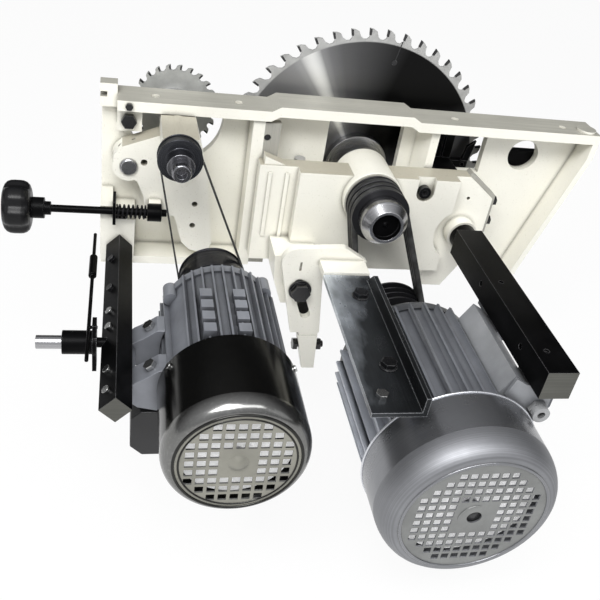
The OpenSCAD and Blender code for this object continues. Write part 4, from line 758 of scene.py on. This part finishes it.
class SawMotors(bpy.types.Operator):
    """Motor castings, fan covers, boxes and what shows inside"""
    bl_idname = "saw.motors"
    bl_label = "Motors"

    def execute(self, context):
        made = finishes(context)
        edge, small = made.machined_edge, made.small_edge
        large_motor = softened("main_motor_housing", "dark_motor_paint", edge)
        left = centre_of("main_motor_pulley")[0] - 0.070
        # Painted light: the left side of the large motor takes a lighter copy of its paint.
        refaced(large_motor, "painted_light_side", lambda c, n: c[0] < left)
        small_motor = softened("scoring_motor_housing", "motor_paint", edge)
        above = centre_of("scoring_motor_pulley")[2] + 0.0755
        # Painted highlight: the top faces of the small motor's pads take a lighter copy of its paint.
        refaced(small_motor, "painted_pad_highlight", lambda c, n: c[2] > above and n[2] > 0.9)
        softened("main_motor_end_shield", "shield_paint", edge * 2)
        softened("scoring_motor_foot", "motor_paint", edge * 2)
        self.large_cover()
        self.small_cover()
        softened("main_terminal_box", "box_paint", edge * 1.5)
        softened("scoring_terminal_box", "black_box", edge * 2)
        softened("cable_gland", "grey_plastic", small)
        for inner, finish in (("fan", "glowing_fan_nylon"), ("rotor", "turned_steel"),
                              ("motor_stator", "copper_winding"), ("motor_bearings", "turned_steel")):
            for motor in ("main", "scoring"):
                painted(f"{motor}_{inner}", finish)
        return {"FINISHED"}

    def large_cover(self):
        """Silver cover with a rolled edge, a bead round its face, a raised arc over its middle and a dark
        disc behind its centre hole."""
        node = "main_fan_cover"
        cover, (low, high), axis = creased(node, "silver_cover"), corners(node), axis_of(node)
        front, radius = low[1], (high[0] - low[0]) / 2
        refaced(cover, "silver_shoulder", lambda c, n: front + NEAR < c[1] < front + 0.0345)
        refaced(cover, "silver_face", lambda c, n: c[1] < front + NEAR)
        hoop("cover_rolled_edge", axis, high[1] - 0.002, radius + 0.0003, 0.0014, "cover_bright", node)
        hoop("cover_face_bead", axis, front, radius * 0.80, 0.0021, "silver_cover", node, 0.7)
        disc = np.array([[0.0005, 0.0027], [0.0105, 0.0027], [0.0105, 0.0040], [0.0005, 0.0040]])
        lathe("large_cover_hub", axis, disc + [0.0, front], "black_box", node)
        start, sweep = np.radians([78, 110])
        hoop("cover_raised_arc", axis, front, 0.0195, 0.0014, "silver_face", node, 0.8, start, sweep)

    def small_cover(self):
        """Black cover with a painted highlight on its shoulder, two beads round its face and a pressed dome
        in its middle.
        """
        node = "scoring_fan_cover"
        cover, front, axis = creased(node, "black_cover"), corners(node)[0][1], axis_of(node)
        # Painted highlight: the shoulder of the black cover takes a lighter copy of its plating.
        refaced(cover, "painted_shoulder_highlight", lambda c, n: front + NEAR < c[1] < front + 0.024)
        refaced(cover, "olive_face", lambda c, n: c[1] < front + NEAR)
        hoop("small_cover_outer_bead", axis, front, 0.0672, 0.0017, "black_cover", node, 0.8)
        hoop("small_cover_inner_bead", axis, front, 0.0618, 0.0011, "black_cover", node, 0.8)
        t = np.linspace(0, 1, 24)
        radii, rise = 0.0125 - 0.0115 * t ** 1.1, 0.0056 * np.sin(t * np.pi / 2) ** 1.5
        dome = np.concatenate([[[0.001, 0.0010]], together(radii, 0.0006 - rise)])
        lathe("small_cover_dome", axis, dome + [0.0, front], "olive_face", node)


class SawPulleys(bpy.types.Operator):
    """Arbors, pulleys, flanges and the polished hub"""
    bl_idname = "saw.pulleys"
    bl_label = "Arbors and pulleys"

    def execute(self, context):
        edge = finishes(context).machined_edge
        pieces = (("arbor_cap", "hub_steel"), ("main_arbor", "turned_steel"),
                  ("main_arbor_pulley", "black_pulley"), ("main_motor_pulley", "black_pulley"),
                  ("scoring_motor_pulley", "black_drum"), ("scoring_arbor", "spindle_steel"),
                  ("scoring_arbor_pulley", "black_sheave"), ("scoring_flange", "turned_steel"),
                  ("blade_clamp", "turned_steel"))
        round_pieces = {node: softened(node, finish, edge) for node, finish in pieces}
        x, y, z = centre_of("scoring_arbor_pulley")
        refaced(round_pieces["scoring_arbor_pulley"], "spindle_steel",
                lambda c, n: c[1] < y - 0.0005 and np.hypot(c[0] - x, c[2] - z) < 0.0176)
        front = corners("arbor_cap")[0][1]
        refaced(round_pieces["arbor_cap"], "black_steel",
                lambda c, n: np.hypot(c[0], c[2]) < 0.0196 and c[1] > front + 0.0004)
        for node in ("main_arbor_bearings", "scoring_arbor_bearings"):
            painted(node, "turned_steel")
        return {"FINISHED"}


class SawBlades(bpy.types.Operator):
    """Blade steel ground round the centre, and a brazed tip on each tooth"""
    bl_idname = "saw.blades"
    bl_label = "Blades"

    def execute(self, context):
        parts = context.scene.saw_small_parts
        finishes(context)
        painted("main_blade", "blade_steel")
        painted("scoring_blade", "scoring_steel")
        self.slots("main_blade", np.radians([79.0, 169.0, 259.0, 349.0]), 0.158, 0.188)
        self.tips("main_blade", 48, np.radians(4), False, parts, 1.0)
        self.tips("scoring_blade", 24, np.radians(7), True, parts, 0.85)
        return {"FINISHED"}

    def slots(self, node, angles, inner, outer):
        """Dark resin in the expansion slots: a round end and a strip as one outline, by reach along the
        slot's angle and distance across it, with two faces a little inside those of the plate."""
        end, strip = 0.0038, 0.00078
        turn = np.linspace(0.22, FULL_TURN - 0.22, 18)
        across = np.concatenate([end * np.sin(turn), [-strip, strip]])
        reach = np.concatenate([inner + end * np.cos(turn), [outer, outer]])
        cos, sin = np.cos(angles)[:, None], np.sin(angles)[:, None]
        x, z = reach * cos - across * sin, reach * sin + across * cos
        half = corners(node)[1][1] - NEAR
        verts = np.concatenate([together(x, y, z) for y in (-half, half)], axis=1)
        count = len(reach)
        ring = np.arange(count)
        after = (ring + 1) % count
        walls = together(ring, after, after + count, ring + count)
        faces = []
        for base in 2 * count * np.arange(len(angles)):
            faces += (walls + base).tolist() + [(ring[::-1] + base).tolist(), (ring + count + base).tolist()]
        mesh = meshed(node + "_slots", verts.reshape(-1, 3), faces)
        outward(mesh)
        fixed(shown(mesh, "black_box"), node)
        mesh.shade_flat()

    def tips(self, node, teeth, turn, mirrored, parts, scale):
        """Each tip is a wedge of eight corners, four on each side of the plate, given by radius and by the
        way along the rim from the tooth's point. The first tooth is at the angle turn, and a mirrored
        blade counts its angles from the other end."""
        low, high = corners(node)
        middle, outer = (low + high) / 2, (high[2] - low[2]) / 2
        long, thick = parts.tip_long * scale, parts.tip_thick * scale
        radii = outer - np.array([-0.0003, 0.0004 + 0.0006 * scale, long, long * 0.96])
        along = np.array([0.0003, -thick, -thick * 0.9, 0.0001])
        angle = turn - np.arange(teeth)[:, None] * FULL_TURN / teeth + along / radii
        if mirrored:
            angle = np.pi - angle
        x, z = middle[0] + radii * np.cos(angle), middle[2] + radii * np.sin(angle)
        half = parts.tip_wide * scale / 2 * np.array([1.0, 0.94, 0.8, 0.8])
        verts = np.concatenate([together(x, middle[1] + y, z) for y in (-half, half)], axis=1)
        sides = np.array([[0, 1, 2, 3], [7, 6, 5, 4], [0, 4, 5, 1], [1, 5, 6, 2], [2, 6, 7, 3],
                          [3, 7, 4, 0]])
        faces = (sides + 8 * np.arange(teeth)[:, None, None]).reshape(-1, 4)
        mesh = meshed(node + "_tips", verts.reshape(-1, 3), faces.tolist())
        outward(mesh)
        fixed(rounded(shown(mesh, "tip_carbide"), 0.00025, 1), node)


class SawBeltsMade(bpy.types.Operator):
    """Three wedge belts and one flat belt, each round its two shafts"""
    bl_idname = "saw.belts"
    bl_label = "Belts"

    def execute(self, context):
        belts = context.scene.saw_belts
        finishes(context)
        self.wedge_belts(belts)
        self.flat_belt(belts.flat_thick)
        return {"FINISHED"}

    def wedge_belts(self, belts):
        """Three belts side by side, each with eight points round its section, wide outside."""
        low, high = corners("main_belt")
        arbor, motor = np.zeros(2), axis_of("main_motor_pulley")
        foot_under_rim = 0.0085
        small, large = ((box[1][0] - box[0][0]) / 2 - foot_under_rim
                        for box in (corners("main_arbor_pulley"), corners("main_motor_pulley")))
        path = loop_path(arbor, small, motor, large, 56, 30)
        top, foot, deep = belts.wedge_top / 2, belts.wedge_foot / 2, belts.wedge_deep
        lower, crown = foot + (top - foot) * 0.25, top - 0.0009
        wedge = np.array([[0.0, -foot], [0.0, foot], [deep * 0.25, lower], [deep * 0.9, top],
                          [deep, crown], [deep, -crown], [deep * 0.9, -top], [deep * 0.25, -lower]])
        middle, pitch = (low[1] + high[1]) / 2, (high[1] - low[1] - belts.wedge_top) / 2
        for k in (-1, 0, 1):
            belt = belt_skin(f"wedge_belt_{k + 2}", path, wedge, middle + k * pitch, "belt_rubber")
            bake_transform(belt)
            if k == 0:
                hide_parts("main_belt")

    def flat_belt(self, thick):
        """A thin belt with eight points round its section, on its two drums."""
        low, high = corners("scoring_belt")
        drum, spindle = axis_of("scoring_motor_pulley"), axis_of("scoring_arbor_pulley")
        spindle_radius, drum_radius = 0.0244, 0.0434
        half, y = (high[1] - low[1]) / 2, (low[1] + high[1]) / 2
        strip = np.array([[0.0, -half], [0.0, 0.0], [0.0, half], [thick * 0.3, half + 0.0001],
                          [thick, half - 0.0003], [thick, 0.0], [thick, -half + 0.0003],
                          [thick * 0.3, -half - 0.0001]])
        path = loop_path(spindle, spindle_radius, drum, drum_radius, 48, 40)
        belt = belt_skin("flat_belt", path, strip, y, "belt_rubber")
        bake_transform(belt)
        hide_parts("scoring_belt")


class SawSpring(bpy.types.Operator):
    """Coil spring between its stop and the arm's nut"""
    bl_idname = "saw.spring"
    bl_label = "Spring"

    def execute(self, context):
        parts = context.scene.saw_small_parts
        finishes(context)
        low, high = corners("adjuster_spring")
        rod, wire = centre_of("adjuster_rod"), parts.wire / 2
        mean = (high[2] - low[2]) / 2 - wire
        # Three quarters of a closed curl at each end, with the open curls between them
        closed, close_pitch = 0.75, parts.wire * 1.02
        turns = parts.curls + 2 * closed
        end, free = closed * close_pitch, high[0] - low[0] - 2 * wire - 2 * closed * close_pitch
        t = np.linspace(0, turns, int(turns * 26) + 1)
        x = low[0] + wire + np.interp(t, [0, closed, turns - closed, turns], np.cumsum([0, end, free, end]))
        a = FULL_TURN * t
        out = together(0.0, np.sin(a), np.cos(a))
        line = together(x, rod[1] + mean * out[:, 1], rod[2] + mean * out[:, 2])
        way = np.gradient(line, axis=0)
        side = np.cross(way / np.linalg.norm(way, axis=1, keepdims=True), out)
        ring = np.linspace(0, FULL_TURN, 14, endpoint=False)[None, :, None]
        grid = line[:, None] + wire * (np.cos(ring) * out[:, None] + np.sin(ring) * side[:, None])
        spring = skin("coil_spring", grid, "spring_black")
        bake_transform(spring)
        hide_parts("adjuster_spring")
        return {"FINISHED"}


class SawKnob(bpy.types.Operator):
    """Fluted hand knob"""
    bl_idname = "saw.knob"
    bl_label = "Knob"

    def execute(self, context):
        parts = context.scene.saw_small_parts
        finishes(context)
        low, high = corners("adjuster_knob")
        middle, radius, deep = (low + high) / 2, (high[1] - low[1]) / 2, high[0] - low[0]
        # Half profile from the outer face to the inner one, in shares of the radius and of the depth
        shares = [0.02, 0.30, 0.48, 0.60, 0.72, 0.84, 0.94, 0.99, 1.0, 1.0, 0.99, 0.94, 0.85, 0.70, 0.50,
                  0.30, 0.02]
        depths = [0.05, 0.04, 0.015, 0.0, 0.02, 0.07, 0.16, 0.28, 0.42, 0.58, 0.72, 0.84, 0.93, 0.985, 1.0,
                  1.0, 1.0]
        steps = np.linspace(0, len(shares) - 1, 65)
        share, depth = (np.interp(steps, range(len(row)), row)[:, None] for row in (shares, depths))
        a = np.linspace(0, FULL_TURN, 144, endpoint=False)
        flute = (0.5 + 0.5 * np.cos(6 * a)) ** 2.2
        r = radius * share - parts.knob_flute * flute * np.clip((share - 0.55) / 0.4, 0, 1) ** 1.5
        grid = together(low[0] + deep * depth, middle[1] + r * np.sin(-a), middle[2] + r * np.cos(a))
        fixed(skin("hand_knob", grid, "knob_plastic"), "adjuster_knob", True)
        return {"FINISHED"}


class SawFasteners(bpy.types.Operator):
    """Screws, nuts and bolts"""
    bl_idname = "saw.fasteners"
    bl_label = "Fasteners"

    def execute(self, context):
        small = finishes(context).small_edge
        for node in ("carriage_screws", "clamp_bolt"):
            softened(node, "black_screws", small)
        # Bare steel: the outer screw on the angle, and those at the foot of the left bar
        motor = softened("main_motor_screws", "black_screws", small)
        low, high = corners("motor_angle")
        refaced(motor, "bright_screws", lambda c, n: c[0] < high[0] and c[2] > low[2] - 0.02
                and low[1] + 0.012 < c[1] < low[1] + 0.036)
        held = softened("frame_screws", "black_screws", small)
        refaced(held, "bright_screws", lambda c, n: c[0] < -0.31 and c[2] < -0.08 and c[1] < -0.26)
        softened("scoring_motor_screws", "bright_screws", small)
        return {"FINISHED"}


class SawStageMade(bpy.types.Operator):
    """Pale floor, soft lamps and the camera"""
    bl_idname = "saw.stage"
    bl_label = "Stage"

    def execute(self, context):
        stage = context.scene.saw_stage
        scene = context.scene
        scene.view_settings.view_transform = "Standard"
        self.floor(cad_box[0][2] - stage.floor_below)
        self.world(scene, stage.sky)
        aim, away = Vector((-0.02, -0.25, -0.05)), 2.3
        lamps = (("key_lamp", (-0.30, -0.52, 0.80), 1.1, 1.1, stage.key),
                 ("second_lamp", (0.16, -0.58, 0.80), 1.5, 0.6, stage.second),
                 ("streak_lamp", (-0.52, -0.49, 0.70), 0.26, 0.26, stage.streak),
                 ("fill_lamp", (0.72, -0.58, 0.38), 1.1, 1.1, stage.fill))
        for name, way, wide, high, watts in lamps:
            lamp = bpy.data.lights.new(name, "AREA")
            lamp.shape, lamp.size, lamp.size_y, lamp.energy = "RECTANGLE", wide, high, watts
            holder = bpy.data.objects.new(name, lamp)
            holder.location = aim + away * Vector(way)
            holder.rotation_euler = (-Vector(way)).to_track_quat("-Z", "Y").to_euler()
            scene.collection.objects.link(holder)
        lens = bpy.data.cameras.new("camera")
        lens.lens, lens.sensor_width, lens.clip_end = stage.lens, 36.0, 50.0
        camera = scene.camera = bpy.data.objects.new("camera", lens)
        turn = Vector(stage.camera_way).to_track_quat("-Z", "Y").to_matrix().to_4x4()
        camera.matrix_world = (Matrix.Translation(Vector(stage.camera_at)) @ turn
                               @ Matrix.Rotation(stage.camera_roll, 4, "Z"))
        scene.collection.objects.link(camera)
        return {"FINISHED"}

    def floor(self, level):
        """A flat grid, white to the camera and in reflections, that keeps a soft shadow."""
        s = Shade("floor_white")
        s.set(base=(0.93, 0.93, 0.93), rough=0.8)
        rays = s.node("ShaderNodeLightPath").outputs
        seen = s.maths("ADD", rays["Is Camera Ray"], rays["Is Glossy Ray"])
        seen = s.maths("MINIMUM", s.maths("ADD", seen, rays["Is Transmission Ray"]), 1.0)
        glow = s.node("ShaderNodeEmission", (1.0, 1.0, 1.0), 1.0).outputs[0]
        both = s.node("ShaderNodeMixShader", s.maths("MULTIPLY", seen, 0.93), s.shader.outputs[0], glow)
        s.put(s.tree.nodes["Material Output"].inputs["Surface"], both.outputs[0])
        line = np.linspace(-7, 7, 15)
        x, y = np.meshgrid(line, line)
        skin("floor", together(x, y, level), "floor_white", sheet=True)

    def world(self, scene, strength):
        """Light from all round, full from over the camera and dim from behind the object, so that dark
        paint stays dark. The camera sees plain white."""
        world = scene.world = bpy.data.worlds.new("studio")
        world.use_nodes = True
        s = Tree(world.node_tree)
        rays = s.node("ShaderNodeLightPath").outputs
        facing = s.dot(s.coordinates["Generated"], (-0.2, -0.6, 0.77))
        full = s.span(rays["Is Glossy Ray"], strength, 0.9)
        light = s.tree.nodes["Background"]
        s.put(light.inputs["Color"], (0.97, 0.98, 1.0))
        s.put(light.inputs["Strength"], s.maths("MULTIPLY", s.span(facing, 0.05, 1.0, 0.0, 0.95), full))
        white = s.node("ShaderNodeBackground", (1.0, 1.0, 1.0), 1.0).outputs[0]
        seen = s.maths("MAXIMUM", rays["Is Camera Ray"], rays["Is Transmission Ray"])
        both = s.node("ShaderNodeMixShader", seen, light.outputs[0], white)
        s.put(s.tree.nodes["World Output"].inputs["Surface"], both.outputs[0])


PIECES = (SawCastings, SawBars, SawMotors, SawPulleys, SawBlades, SawBeltsMade, SawSpring, SawKnob,
          SawFasteners, SawStageMade)


class SawPanel(bpy.types.Panel):
    """Lists the pieces and their settings"""
    bl_idname = "VIEW3D_PT_saw_unit"
    bl_label = "Saw Unit"
    bl_space_type = "VIEW_3D"
    bl_region_type = "UI"
    bl_category = "Saw Unit"

    def draw(self, context):
        for piece in PIECES:
            self.layout.operator(piece.bl_idname)
        for group, kind in SETTINGS.items():
            box = self.layout.box()
            box.label(text=kind.__doc__)
            for name in kind.__annotations__:
                box.prop(getattr(context.scene, group), name)


SETTINGS = {"saw_finishes": SawFinishes, "saw_belts": SawBelts, "saw_small_parts": SawSmallParts,
            "saw_stage": SawStage}


def register():
    for kind in (*SETTINGS.values(), *PIECES, SawPanel):
        bpy.utils.register_class(kind)
    for name, kind in SETTINGS.items():
        setattr(bpy.types.Scene, name, PointerProperty(type=kind))


def unregister():
    for name in SETTINGS:
        delattr(bpy.types.Scene, name)
    for kind in reversed((*SETTINGS.values(), *PIECES, SawPanel)):
        bpy.utils.unregister_class(kind)


def main():
    register()
    for group, name in (piece.bl_idname.split(".") for piece in PIECES):
        getattr(getattr(bpy.ops, group), name)()


if __name__ == "__main__":
    main()
